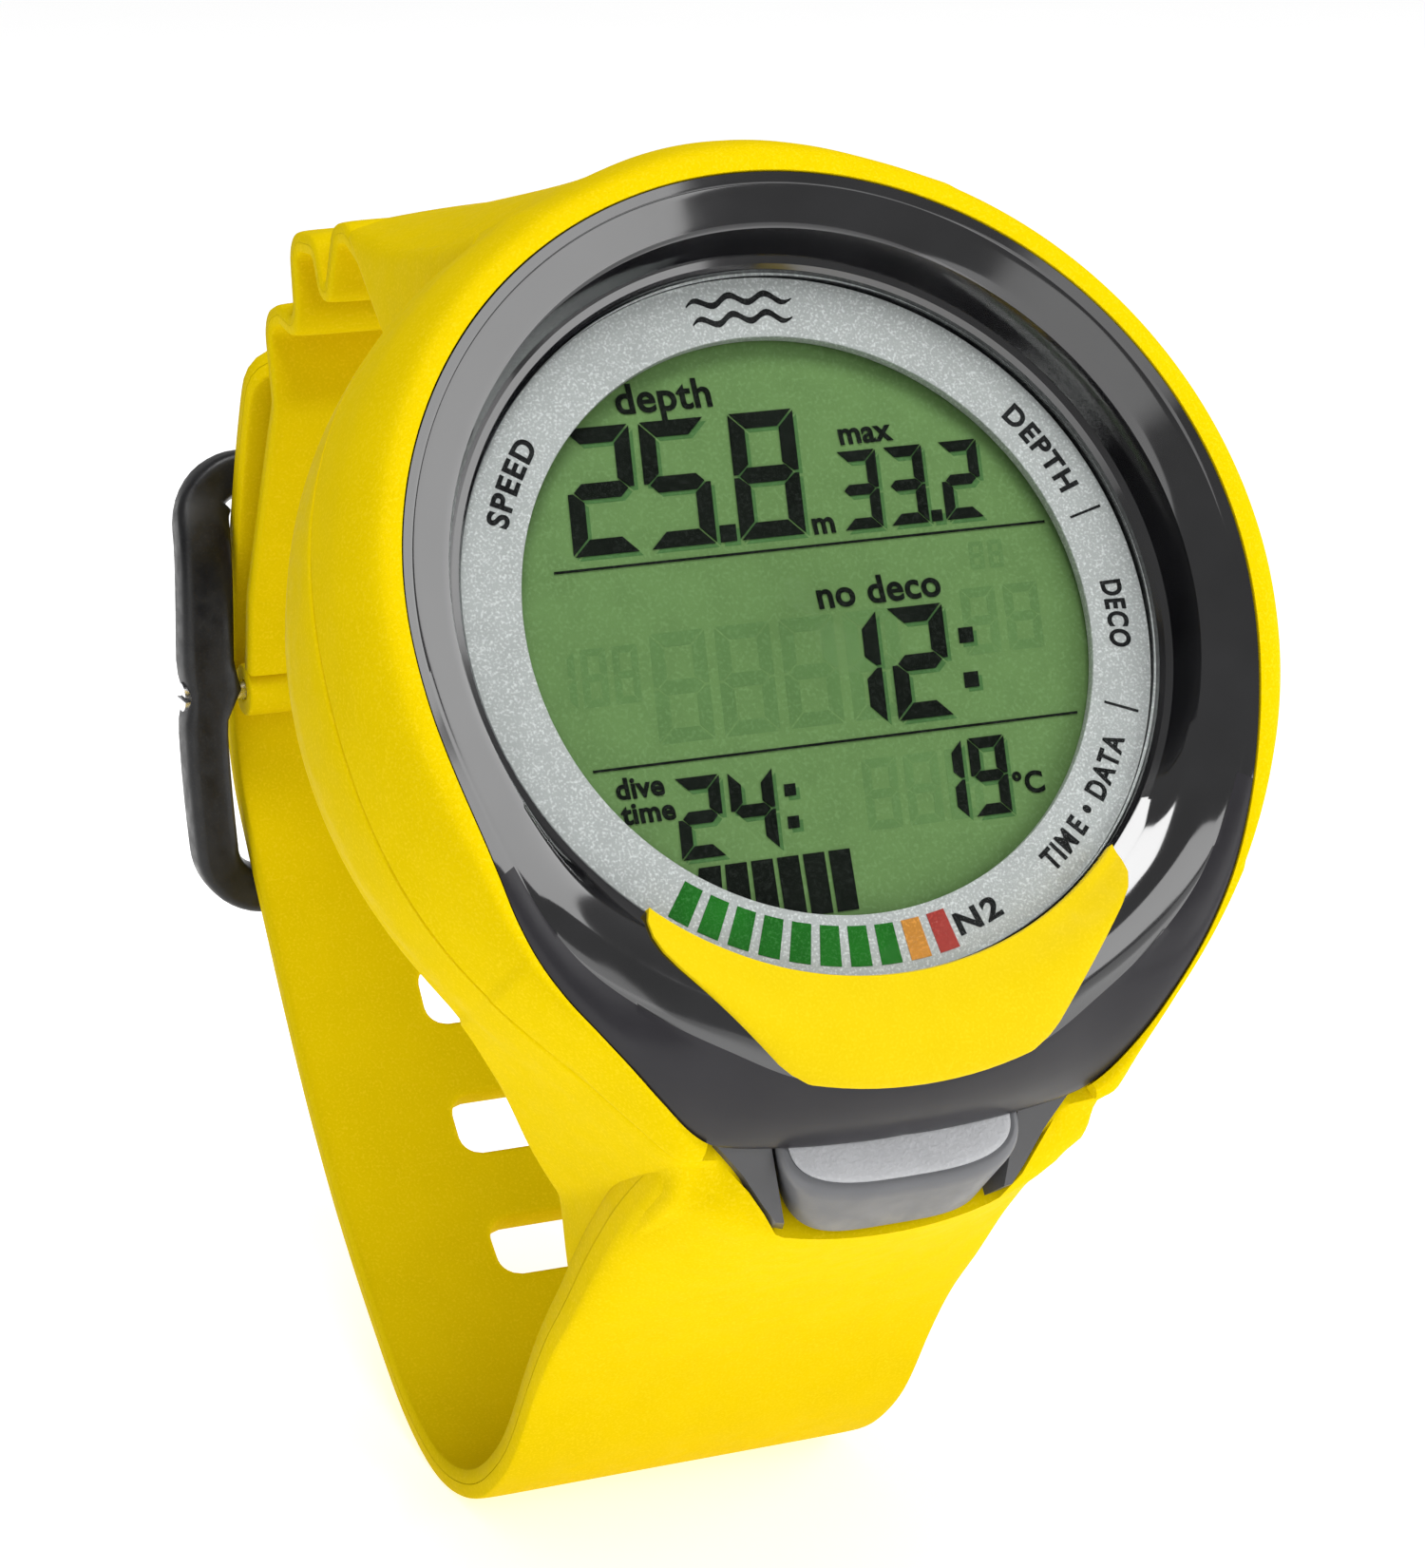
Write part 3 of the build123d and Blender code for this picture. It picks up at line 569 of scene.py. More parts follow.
def width_of(mesh):
    xs = [v.co.x for v in mesh.vertices]
    return min(xs), max(xs)


LEGEND_R, LEGEND_H = 24.85, 1.62


def legend(name, text, start, stop, inward=False):
    """Word fitted along the ring between two angles; inward puts the letters' tops to the middle."""
    mesh = lettering(text, LEGEND_H, 0.075, 1.18)
    low, high = width_of(mesh)

    def place(x, y):
        angle = math.radians(start + (stop - start) * (x - low) / (high - low))
        above = y - LEGEND_H / 2
        reach = LEGEND_R - above if inward else LEGEND_R + above
        return reach * math.cos(angle), reach * math.sin(angle)

    printed(name, mesh, place, 0.0, print_black)


legend("legend_speed", "SPEED", 157.0, 140.0)
legend("legend_depth", "DEPTH", 36.8, 19.1)
legend("legend_deco", "DECO", 1.3, -11.0)
legend("legend_time_data", "TIME • DATA", -56.0, -27.5, inward=True)
legend("legend_n2", "N2", -77.0, -68.0, inward=True)


def ring_box(start, stop, low, high, steps=4):
    """Outline of a patch of the ring between two angles and two radii."""
    angles = np.radians(np.linspace(start, stop, steps))
    outer = [(high * math.cos(a), high * math.sin(a)) for a in angles]
    inner = [(low * math.cos(a), low * math.sin(a)) for a in reversed(angles)]
    return outer + inner


ticks = [ring_box(a - 0.22, a + 0.22, 23.6, 26.4, 2) for a in (14.3, -22.0)]
flat_shape("legend_ticks", ticks, 0.0, print_black)
BOX_START, BOX_PITCH, BOX_WIDTH = -128.6, 5.22, 3.6
for index in range(10):
    a = BOX_START + index * BOX_PITCH
    ink = green_print if index < 8 else (orange_print, red_print)[index - 8]
    flat_shape(f"load_box_{index + 1}", [ring_box(a, a + BOX_WIDTH, 23.35, 26.4)], 0.0, ink)


def wave_outline(x0, x1, v, swing, thick, waves):
    """Outline of one wavy stroke with tapered ends."""
    t = np.linspace(0, 1, 33)
    x = x0 + (x1 - x0) * t
    mid = v + swing * np.sin(2 * math.pi * waves * t)
    half = thick / 2 * np.minimum(1, 0.25 + 6 * np.minimum(t, 1 - t))
    return list(zip(x, mid + half)) + list(zip(x[::-1], (mid - half)[::-1]))


def bent_round(outline, middle, r):
    """Bends an outline, drawn about (0, 0), along the ring with its top outward."""
    out = []
    for x, v in outline:
        angle = math.radians(middle) - x / r
        out.append(((r + v) * math.cos(angle), (r + v) * math.sin(angle)))
    return out


flat_shape(                                   # a plain wave sign at 12 o'clock
    "legend_waves",
    [bent_round(wave_outline(-4.2, 4.2, v, 0.33, 0.5, 3), 90, 24.9) for v in (-0.75, 0.75)],
    0.0, print_black,
)

# ---- display: panel, segments and their faint unlit neighbours ----
LCD_N = -1.5
lathe("display_glass", rounded([(0.001, -2.6), (0.001, LCD_N), (25.2, LCD_N), (25.2, -2.6)], 0.1, 3),
      lcd_green, slot="lcd", stands_for=("lcd_panel",))
SLANT = math.tan(math.radians(7))
SEGMENTS = {                                  # which of the strokes a..g make each digit
    "0": "abcdef", "1": "bc", "2": "abged", "3": "abgcd", "4": "fgbc", "5": "afgcd",
    "6": "afgedc", "7": "abc", "8": "abcdefg", "9": "abcdfg",
}


def digit_strokes(x, v, width, height, thick, strokes):
    """Outlines of a seven-segment digit whose lower left corner is at (x, v)."""
    gap, t, w, half = thick * 0.09, thick, width, height / 2
    level = [(gap, 0), (w - gap, 0), (w - t - gap, t), (t + gap, t)]
    tip, bend = gap + t * 0.3, gap + t * 0.8
    bar = [(tip, 0), (bend, t / 2), (w - bend, t / 2), (w - tip, 0), (w - bend, -t / 2), (bend, -t / 2)]
    post = [(0, gap), (0, half - gap), (t * 0.3, half - gap), (t, half - t * 0.6 - gap), (t, t + gap)]
    shapes = {
        "d": level,
        "a": [(p, height - q) for p, q in level],
        "g": [(p, half + q) for p, q in bar],
        "e": post,
        "f": [(p, height - q) for p, q in post],
        "c": [(w - p, q) for p, q in post],
        "b": [(w - p, height - q) for p, q in post],
    }
    return [[(x + p + q * SLANT, v + q) for p, q in shapes[s]] for s in strokes]


def dot(x, v, size):
    return [(x, v), (x + size, v), (x + size + size * SLANT, v + size), (x + size * SLANT, v + size)]


def number(text, x, v, height, width, thick, pitch):
    """Outlines of a row of digits; a full stop or a colon takes its own narrow place."""
    shapes = []
    for mark in text:
        if mark == ".":
            shapes.append(dot(x - pitch + width + thick * 0.25, v, thick * 1.05))
            x += thick * 0.9
        elif mark == ":":
            left = x - pitch + width + thick * 0.9
            shapes += [dot(left + h * SLANT, v + h, thick * 0.95) for h in (height * 0.22, height * 0.62)]
        else:
            shapes += digit_strokes(x, v, width, height, thick, SEGMENTS[mark])
            x += pitch
    return shapes


DIGIT_ROWS = [                                # text, x, v, height, width, stroke, pitch
    ("25.8", -16.9, 7.2, 9.9, 5.3, 1.25, 6.1),
    ("33.2", 4.9, 7.1, 6.2, 3.2, 0.85, 3.85),
    ("12:", 0.1, -8.0, 8.7, 4.6, 1.25, 5.5),
    ("24:", -13.8, -16.4, 6.1, 3.5, 0.95, 4.2),
    ("19", 6.4, -16.0, 6.0, 3.0, 0.85, 3.55),
]
lit = [shape for row in DIGIT_ROWS for shape in number(*row)]
rules = [
    [(-18.7, 6.1), (21.4, 6.1), (21.4, 6.28), (-18.7, 6.28)],
    [(-19.1, -9.1), (20.2, -9.1), (20.2, -8.92), (-19.1, -8.92)],
]
BAR_X, BAR_PITCH, BAR_WIDTH, BAR_TOP, BAR_LOW = -12.7, 2.06, 1.7, -17.1, -21.7


def bar_shape(index):
    """One bar of the graph, cut off below by the round window."""
    x0 = BAR_X + index * BAR_PITCH
    low = [
        (x, max(BAR_LOW, -math.sqrt(WINDOW_R**2 - x * x) + 0.02))
        for x in np.linspace(x0 - 0.35, x0 - 0.35 + BAR_WIDTH, 5)
    ]
    return low + [(x0 + BAR_WIDTH, BAR_TOP), (x0, BAR_TOP)]


bars = [bar_shape(index) for index in range(6)]


def moved(shapes, dx, dv):
    return [[(x + dx, v + dv) for x, v in shape] for shape in shapes]


INK_N = LCD_N + 0.06
flat_shape("display_digits", lit, INK_N, lcd_black)
flat_shape("display_rules", rules, INK_N, lcd_black)
flat_shape("display_bars", bars, INK_N, lcd_black)
# painted shadow: a darker green copy of the lit segments, moved down and to the right on the panel
flat_shape("display_digit_shadows", moved(lit, 0.28, -0.32), LCD_N, lcd_shade, thick=0.02)
ghosts = [shape for row in (
    ("8888", -13.5, -7.6, 8.4, 4.4, 1.1, 5.2),
    ("88", 12.4, -3.6, 5.2, 2.9, 0.75, 3.6),
    ("88", 14.4, 3.0, 2.2, 1.2, 0.35, 1.6),
    ("188", -21.1, -4.2, 4.4, 2.0, 0.55, 2.5),
    ("888", 1.2, -16.0, 5.4, 2.8, 0.7, 3.4),
) for shape in number(*row)]
flat_shape("display_ghosts", ghosts, LCD_N, lcd_ghost, thick=0.012)


def display_word(name, text, x, v, height):
    """Word on the display, starting at (x, v), `height` being its capitals' height."""
    mesh = lettering(text, height, 0.065, 1.04)
    low = width_of(mesh)[0]
    printed(name, mesh, lambda a, b: (x + a - low, v + b), INK_N, lcd_black)


display_word("word_depth", "depth", -11.0, 17.9, 2.3)
display_word("word_metres", "m", 2.4, 7.1, 1.75)
display_word("word_max", "max", 6.2, 13.9, 1.75)
display_word("word_no_deco", "no deco", 1.4, 1.3, 2.1)
display_word("word_dive", "dive", -17.7, -11.3, 1.55)
display_word("word_time", "time", -17.7, -13.2, 1.55)
display_word("word_celsius", "°C", 13.6, -14.7, 1.6)

lathe(
    "window",
    rounded([(0.001, 0.08), (0.001, 1.2), (27.0, 1.2), (27.3, 0.9), (27.3, 0.08)], 0.06, 3),
    clear, slot="lens", stands_for=("lens",),
)

# ---- yellow body: bumper ring in front, cup behind it ----
SIDE_N = [-24.0, -12.6, -12.0, -8.0, -4.0, 0.0]            # side of the round part: radius by height
SIDE_R = [35.6, 36.8, 36.9, 37.8, 37.9, 37.2]
TOP_N, TOP_V = [-34.0, -32.2, -23.4, -11.0, -4.0, 0.6, 5.0], [48.9, 48.1, 45.2, 41.2, 39.2, 38.0, 35.0]
TOP_CROWN_N, TOP_CROWN = [-34.0, -32.0, -23.0, -11.0], [1.5, 2.0, 4.2, 5.0]
# middle line of the lower root, and how far its sides lie behind that
LOW_N = [-34.0, -29.0, -20.0, -14.0, -11.4, -10.0, -8.5, -7.0, -5.7, -5.0]
LOW_V = [44.1, 43.5, 43.3, 43.3, 43.3, 43.0, 42.2, 40.4, 38.4, 37.6]
CROWN_N, CROWN = [-34.0, -25.0, -20.0, -11.0], [1.1, 2.4, 3.0, 3.6]
TOP_HALF, LOW_HALF = 17.75, 17.2
ROOT_V = 42.0                        # distance from the axis at which a root has its half width
FAR, BLEND = 70.0, 0.35              # largest radius of the straight sides, and how softly they join
LOW_NORMAL = -39.25                                        # tangent side of the ring towards the chin corner


def from_noon(theta):
    return 180 - from_six(theta)


def body_edge(theta, n):
    """Outside radius of the yellow body at a height: a circle that swells into both strap roots."""
    a = from_noon(theta)
    circle = through(SIDE_N, SIDE_R, n)
    sideways = np.minimum(np.tan(np.radians(np.minimum(a, 60))) * ROOT_V / TOP_HALF, 1)
    noon_v = through(TOP_N, TOP_V, n) - through(TOP_CROWN_N, TOP_CROWN, n) * sideways**2
    noon = soft_min(toward(90 - a, 90, noon_v), toward(90 - a, 0, TOP_HALF), 0.6)
    sideways = np.minimum(np.tan(np.radians(180 - np.maximum(a, 120))) * ROOT_V / LOW_HALF, 1)
    six_v = through(LOW_N, LOW_V, n) - through(CROWN_N, CROWN, n) * sideways**2
    lean_in = 37.9 + 0.095 * np.minimum(n, 0)
    low_side = toward(90 - a, LOW_NORMAL, lean_in)
    wedge = soft_min(low_side, toward(90 - a, -90, LOW_V[-1]), 0.5)
    root = soft_min(toward(90 - a, -90, six_v), toward(90 - a, 0, LOW_HALF), 0.8)
    six = np.where(a > 90 - LOW_NORMAL, np.minimum(soft_max(wedge, root, 0.3), FAR), 0.0)
    noon = np.where(a < 80, np.minimum(noon, FAR), 0.0)
    return soft_max(soft_max(circle, noon, BLEND), six, BLEND)


def rear_n(theta):
    """Height of the body's rear edge: level at the sides, sweeping back under both strap roots."""
    a = from_noon(theta)
    top = through([0, 19, 22, 31, 42, 50, 60], [-33.2, -33.2, -31.0, -25.5, -18.0, -13.2, -12.6], a)
    low = through([0, 22, 25.6, 32.8, 43.3, 53.7, 64],
                  [-34.0, -34.0, -32.6, -28.0, -19.0, -13.2, -12.6], 180 - a)
    return np.minimum(top, low)


def split_n(theta):
    """Height of the joint between bumper ring and cup."""
    a = from_noon(theta)
    return through([0, 45, 90, 125, 145, 180], [-4.6, -4.4, -1.6, -4.0, -5.3, -5.6], a)


def front_n(theta):
    """Height of the bumper's front lip, a little above the bezel's edge."""
    return bezel_edge_n(theta) + LIP_GAP


CORNER = 157.0                       # angle from 12 o'clock of the chin's corners
RIDGE = [(0.0, 0.0), (0.16, -0.03), (0.33, -0.12), (0.45, -0.36), (0.56, -0.9), (0.68, -1.75),
         (0.80, -2.8), (0.92, -4.1), (1.0, -5.4)]         # share of the ring's width, drop below its lip
RIDGE_DROP, LIP_GAP = 5.4, 0.12      # the whole drop, and how far the ring stands off the bezel's edge


def ring_outer(theta):
    """Columns of (r, n) over the front and side of the ring, from the bezel to the joint."""
    lip, inner = front_n(theta), bezel_edge(theta) + LIP_GAP
    foot_n = np.maximum(lip - RIDGE_DROP, split_n(theta) + 0.35)
    foot_r = body_edge(theta, foot_n)
    width = np.maximum(foot_r - inner, 0.05)
    room = (lip - foot_n) / RIDGE_DROP
    columns = [(inner + width * share, lip + drop * room) for share, drop in RIDGE]
    columns.append((body_edge(theta, split_n(theta) + 0.12), split_n(theta) + 0.12))
    columns.append((body_edge(theta, split_n(theta)) - 0.16, split_n(theta)))
    return columns, inner


ring_theta = np.linspace(90 - CORNER, 90 + CORNER, 433)
columns, inner = ring_outer(ring_theta)
floor_n = split_n(ring_theta)
columns.append((inner + 0.02, floor_n))
columns.append((inner, front_n(ring_theta) - 0.5))
ring_points = np.stack([polar(r, ring_theta, n) for r, n in columns], axis=1)
piece("bumper", ring_points, capped_faces(len(ring_theta), len(columns)), yellow,
      slot="bumper", stands_for=("bumper_ring",), sharp=50)

cup_theta = np.arange(576) * 0.625
lean = from_noon(cup_theta)
front = split_n(cup_theta) - 0.1
MOUTH_AT, MOUTH_N = [0, 11, 12.8, 14.5, 17.5, 21.6, 24], [-11.7, -11.7, -11.5, -10.3, -8.0, -6.3, -5.6]
mouth = through(MOUTH_AT, MOUTH_N, 180 - lean)              # the button and its cheeks need the front
front = np.where(lean > 150, np.minimum(front, mouth), front)
back = rear_n(cup_theta)
INSIDE_R = 31.75
columns = [(np.maximum(body_edge(cup_theta, front) - 0.9, INSIDE_R + 0.4), front),
           (body_edge(cup_theta, front) - 0.16, front)]
for share in np.concatenate(([0.012], np.linspace(0.05, 0.95, 22), [0.985])):
    n = front + (back - front) * share
    columns.append((body_edge(cup_theta, n), n))
rim = body_edge(cup_theta, back)
top_in = through([-34, -28, -21, -12], [42.6, 36.4, INSIDE_R, INSIDE_R], back)
low_in = through([-34, -27, -22, -12], [37.2, 32.6, INSIDE_R, INSIDE_R], back)
inside = np.where(lean < 90, top_in, low_in)
columns.append((rim - 0.25, back - 0.05))
columns.append((rim * 0.5 + inside * 0.5, back - 0.1))
columns.append((inside + 0.35, back))
columns.append((inside, back + 0.4))
columns.append((np.full_like(rim, INSIDE_R), np.minimum(np.maximum(back + 1.0, -21.5), front - 0.6)))
columns.append((np.full_like(rim, INSIDE_R), front - 0.4))
cup_points = np.stack([polar(r, cup_theta, n) for r, n in columns], axis=1)
piece("cup", cup_points, grid_faces(len(cup_theta), len(columns), True, True), yellow,
      slot="strap", stands_for=("strap_cup",), sharp=50)

# ---- straps: flat layouts in (x, distance along the line), given thickness and bent along their lines ----
STRAP_HALF, STRAP_T = 17.5, 2.7


def bent(line, x, s, lift):
    """Side-view point of a layout point, lifted off the line along its normal."""
    base, normal = line.point(s), line.normal(s)
    return in_side(x, base[..., 0] + normal[..., 0] * lift, base[..., 1] + normal[..., 1] * lift)


def section_half(x, thick, power):
    """Half thickness across the strap: a superellipse, so that its edges are rounded."""
    return thick / 2 * (1 - np.minimum(np.abs(x) / STRAP_HALF, 1) ** power) ** (1 / power)


def edge_columns(half, count=25):
    """Places across a strap, closer together near its rounded edges."""
    inner = np.linspace(-half + 1.8, half - 1.8, count)
    near = np.array([0.0, 0.05, 0.16, 0.34, 0.6, 1.05])
    return np.concatenate((-half + near, inner, (half - near)[::-1]))


def two_skins(layout, skin):
    """Points and faces of both skins of a layout patch, from skin(x, s, side)."""
    rows, columns = layout.shape[:2]
    x, s = layout[..., 0], layout[..., 1]
    points = np.concatenate([skin(x, s, side).reshape(-1, 3) for side in (1, -1)])
    faces = grid_faces(rows, columns) + grid_faces(rows, columns, start=rows * columns)
    return points, faces


def layout_grid(across, along):
    """Layout patch from the places across a strap and the distances along it."""
    return np.stack(np.meshgrid(across, along, indexing="xy"), axis=-1)


def wall(edge, skin):
    """Wall that joins both skins along a layout edge."""
    x, s = edge[:, 0], edge[:, 1]
    points = np.stack([skin(x, s, side) for side in (1, -1)], axis=1)
    return points.reshape(-1, 3), grid_faces(len(edge), 2)


def merged(parts):
    points, faces = [], []
    for p, f in parts:
        start = sum(len(q) for q in points)
        points.append(p)
        faces += [tuple(start + k for k in face) for face in f]
    return np.concatenate(points), faces


# the tail, from under the button round to the buckle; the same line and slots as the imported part
TAIL = [
    (14.7, -64.9), (20.4, -72.4), (27.5, -78.0), (35.4, -79.9), (43.2, -77.9), (51.8, -72.2),
    (60.0, -65.5), (66.9, -58.5), (72.9, -51.2), (78.0, -44.4), (82.3, -38.6), (85.6, -33.4),
    (86.9, -28.0), (86.5, -21.0), (85.2, -14.0), (82.8, -5.6), (80.4, 1.2), (78.5, 5.0), (75.9, 7.6),
]
ROOT_LINE = [                                 # skin of the root: distance below the dial's middle, height
    (38.0, -5.0), (40.9, -7.0), (42.8, -8.5), (43.8, -10.2), (44.0, -12.5), (44.0, -16.0), (44.0, -22.0),
    (44.2, -28.0), (44.9, -34.0), (46.1, -40.5),
]
FIRST_SLOT_AT, SLOT_PITCH, SLOTS = (54.4, -70.1), 12.6, 7
SLOT_HALF, SLOT_RISE, SLOT_CORNER = 5.3, 2.9, 1.9
ROOT_T = 8.0

tail_mid = Line(smoothed(TAIL))
own_points = np.array([tail_mid.at[LINE_STEPS * k] for k in range(len(TAIL))])
V_SIDE, N_SIDE = V_DIR[1:], N_DIR[1:]                     # the dial frame's directions in the side view
root_skin = [tuple(-v * V_SIDE + n * N_SIDE) for v, n in ROOT_LINE]
tail_outside = tail_mid.point(own_points) + tail_mid.normal(own_points) * STRAP_T / 2
tail_skin = Line(smoothed(root_skin + [tuple(p) for p in tail_outside]))
skin_flat = tail_skin.nearest(17.0, -71.0)                # from here on the strap is plain flat band
slot_mid = tail_mid.nearest(*FIRST_SLOT_AT) + SLOT_PITCH * np.arange(SLOTS)
slot_s = [tail_skin.nearest(*p) for p in tail_mid.point(slot_mid) + tail_mid.normal(slot_mid) * STRAP_T / 2]
TIP_LENGTH = 7.0


def tail_width(s):
    """Share of the full width: the tip is rounded off."""
    t = np.clip((s - (tail_skin.length - TIP_LENGTH)) / TIP_LENGTH, 0, 1)
    return (1 - t**2.6) ** (1 / 2.6) * 0.62 + 0.38 * (1 - t**8) ** 0.125


def start_shift(x):
    """The strap's upper end runs round the button's mouth: distance along the skin by the place across."""
    return through([0, 8.4, 9.6, 10.6, 12.2, 14.5, 17.5], [9.4, 9.3, 8.1, 6.2, 4.1, 2.4, 2.0], np.abs(x))


def bow(s):
    """How far the strap's sides lie behind its middle line."""
    return through([0, 10, 18, 23, 32, 39, 46, 56], [3.6, 3.6, 3.1, 2.4, 1.2, 0.9, 0.4, 0.0], s)


def tail_surface(x, s, side, drop=0.0):
    share = np.clip(s / skin_flat, 0, 1)
    thick = STRAP_T + (ROOT_T - STRAP_T) * (1 - smooth_step(share))
    power = 3.2 + 14 * share**2
    half = section_half(x, thick, power)
    start = (1 - smooth_step(share * 1.6)) * start_shift(x)
    end = 1 - smooth_step((s - tail_skin.length + 0.9) / 0.9) * 0.55
    lift = -thick / 2 + side * np.maximum(half * end - drop, 0.02)
    back = bow(s + start) * (x / STRAP_HALF) ** 2 * MM
    return bent(tail_skin, x * tail_width(s), s + start, lift) + back[..., None] * V_DIR


columns = edge_columns(STRAP_HALF)
BLOCK_HALF = 8.4
block = np.linspace(-BLOCK_HALF, BLOCK_HALF, 13)
sides = [c for c in columns if abs(c) > BLOCK_HALF + 0.6]
across_x = np.array([c for c in sides if c < 0] + list(block) + [c for c in sides if c > 0])


def plain_patch(s0, s1, rows):
    return layout_grid(across_x, np.linspace(s0, s1, rows))


def slot_patches(s0, s1, centre):
    """A cell of the band with one slot: strips beside the block, and rings from the block to the slot."""
    s = np.linspace(s0, s1, 11)
    left = across_x[across_x <= -BLOCK_HALF + 1e-6]
    right = across_x[across_x >= BLOCK_HALF - 1e-6]
    strips = [layout_grid(part, s) for part in (left, right)]
    outer = np.array(
        [(x, s0) for x in block[:-1]] + [(BLOCK_HALF, q) for q in s[:-1]]
        + [(x, s1) for x in block[::-1][:-1]] + [(-BLOCK_HALF, q) for q in s[::-1][:-1]]
    )
    local = outer - (0, centre)
    low, high = centre - s0, s1 - centre
    rect = np.stack((
        local[:, 0] / BLOCK_HALF * SLOT_HALF,
        np.where(local[:, 1] < 0, local[:, 1] / low, local[:, 1] / high) * SLOT_RISE,
    ), -1)
    straight = np.array((SLOT_HALF - SLOT_CORNER, SLOT_RISE - SLOT_CORNER))
    hub = np.clip(rect, -straight, straight)
    out = rect - hub
    reach = np.linalg.norm(out, axis=1, keepdims=True)
    corner = (np.abs(out) > 1e-9).all(axis=1, keepdims=True)
    slot = np.where(corner, hub + out / np.maximum(reach, 1e-9) * SLOT_CORNER, rect) + (0, centre)
    away = (outer - slot) / np.linalg.norm(outer - slot, axis=1, keepdims=True)
    rings = [outer] + [outer + (slot - outer) * k for k in (0.3, 0.58, 0.8)]
    rings += [slot + away * k for k in (0.4, 0.14, 0.0)]
    ring_grid = np.stack(rings, axis=0)
    return strips, np.concatenate((ring_grid, ring_grid[:, :1]), axis=1)


SLOT_DROPS = np.array([0, 0, 0, 0, 0, 0.09, 0.34])     # how the skin rounds over into a slot, ring by ring


def build_tail():
    parts = []
    cuts = [(a + b) / 2 for a, b in zip(slot_s, slot_s[1:])]
    starts = [slot_s[0] - SLOT_PITCH / 2] + cuts
    ends = cuts + [slot_s[-1] + SLOT_PITCH / 2]
    parts.append(two_skins(plain_patch(0.0, skin_flat, 48), tail_surface))
    parts.append(two_skins(plain_patch(skin_flat, starts[0], 64), tail_surface))
    for s0, s1, centre in zip(starts, ends, slot_s):
        strips, rings = slot_patches(s0, s1, centre)
        parts += [two_skins(strip, tail_surface) for strip in strips]
        drop = np.broadcast_to(SLOT_DROPS[:, None], rings.shape[:2])

        def dropped(x, s, side):
            return tail_surface(x, s, side, drop)

        parts.append(two_skins(rings, dropped))
        parts.append(wall(rings[-1], lambda x, s, side: tail_surface(x, s, side, SLOT_DROPS[-1])))
    last = np.concatenate((
        np.linspace(ends[-1], tail_skin.length - 1.0, 9)[:-1],
        tail_skin.length - np.array([1.0, 0.75, 0.5, 0.3, 0.14, 0.05, 0.0]),
    ))
    tip = layout_grid(across_x, last)
    parts.append(two_skins(tip, tail_surface))
    for patch in (tip[-1], plain_patch(0.0, 1.0, 2)[0]):
        parts.append(wall(patch, tail_surface))
    piece("tail", *merged(parts), yellow, slot="strap", stands_for=("strap_tail",), sharp=60)


build_tail()

# the buckle half: bellows folds, then the band down to the pin
BELLOWS = [
    (48.2, 19.6), (52.8, 21.4), (55.2, 20.9), (58.0, 13.8), (60.6, 19.0), (66.2, 18.6), (65.2, 10.8),
    (70.2, 11.6), (73.4, 10.4), (71.8, 3.4), (75.8, -5.4), (80.4, -15.6), (81.4, -22.6),
]
PIN_Y, PIN_Z, PIN_R = 82.9, -24.6, 0.8
FOLD_R, FOLDS_END = 1.9, (71.8, 3.4)
GAP_HALF = 3.4                                # half the gap for the prong at the pin


def round_corners(points, radius, steps=9):
    """Open polyline with its corners rounded."""
    p = np.array(points, float)
    out = [p[0]]
    for before, corner, after in zip(p, p[1:], p[2:]):
        a, b = before - corner, after - corner
        la, lb = np.linalg.norm(a), np.linalg.norm(b)
        turn = math.acos(np.clip(a @ b / la / lb, -1, 1)) / 2
        r = min(radius / math.tan(turn), la * 0.49, lb * 0.49)
        start, end = corner + a / la * r, corner + b / lb * r
        t = np.linspace(0, 1, steps)[:, None]
        weight = math.sin(turn)                       # a rational curve, so that it is a true arc
        w0, w1, w2 = (1 - t) ** 2, 2 * weight * t * (1 - t), t**2
        out.extend((w0 * start + w1 * corner + w2 * end) / (w0 + w1 + w2))
    out.append(p[-1])
    return np.array(out)


bellows_line = Line(round_corners(BELLOWS, FOLD_R))
folds_end = bellows_line.nearest(*FOLDS_END)
BELLOWS_T = 2.2


def bellows_surface(x, s, side):
    fold = 1 - smooth_step((s - folds_end + 3) / 8)
    thick = BELLOWS_T - 0.25 * fold
    half = section_half(x, thick, 12.0)
    base, normal = bellows_line.point(s), bellows_line.normal(s, 0.35)
    lift = side * np.maximum(half, 0.01)
    return in_side(x, base[..., 0] + normal[..., 0] * lift, base[..., 1] + normal[..., 1] * lift)


def build_bellows():
    s_gap = bellows_line.length - 3.0
    across = np.array(sorted(set(np.round(edge_columns(STRAP_HALF, 29), 4)) | {-GAP_HALF, GAP_HALF}))
    upper = np.linspace(0.0, s_gap, 190)
    parts = [two_skins(layout_grid(across, upper), bellows_surface)]
    lower = np.linspace(s_gap, bellows_line.length, 8)
    for part in (across[across <= -GAP_HALF], across[across >= GAP_HALF]):
        patch = layout_grid(part, lower)
        parts.append(two_skins(patch, bellows_surface))
        inner_column = 0 if part[0] > 0 else -1
        parts.append(wall(patch[:, inner_column], bellows_surface))
        parts.append(wall(patch[-1], bellows_surface))
    middle = across[(across >= -GAP_HALF) & (across <= GAP_HALF)]
    parts.append(wall(np.stack((middle, np.full_like(middle, s_gap)), -1), bellows_surface))
    parts.append(wall(np.stack((across, np.zeros_like(across)), -1), bellows_surface))
    piece("bellows", *merged(parts), yellow, slot="strap", stands_for=("strap_bellows",), sharp=60)


build_bellows()


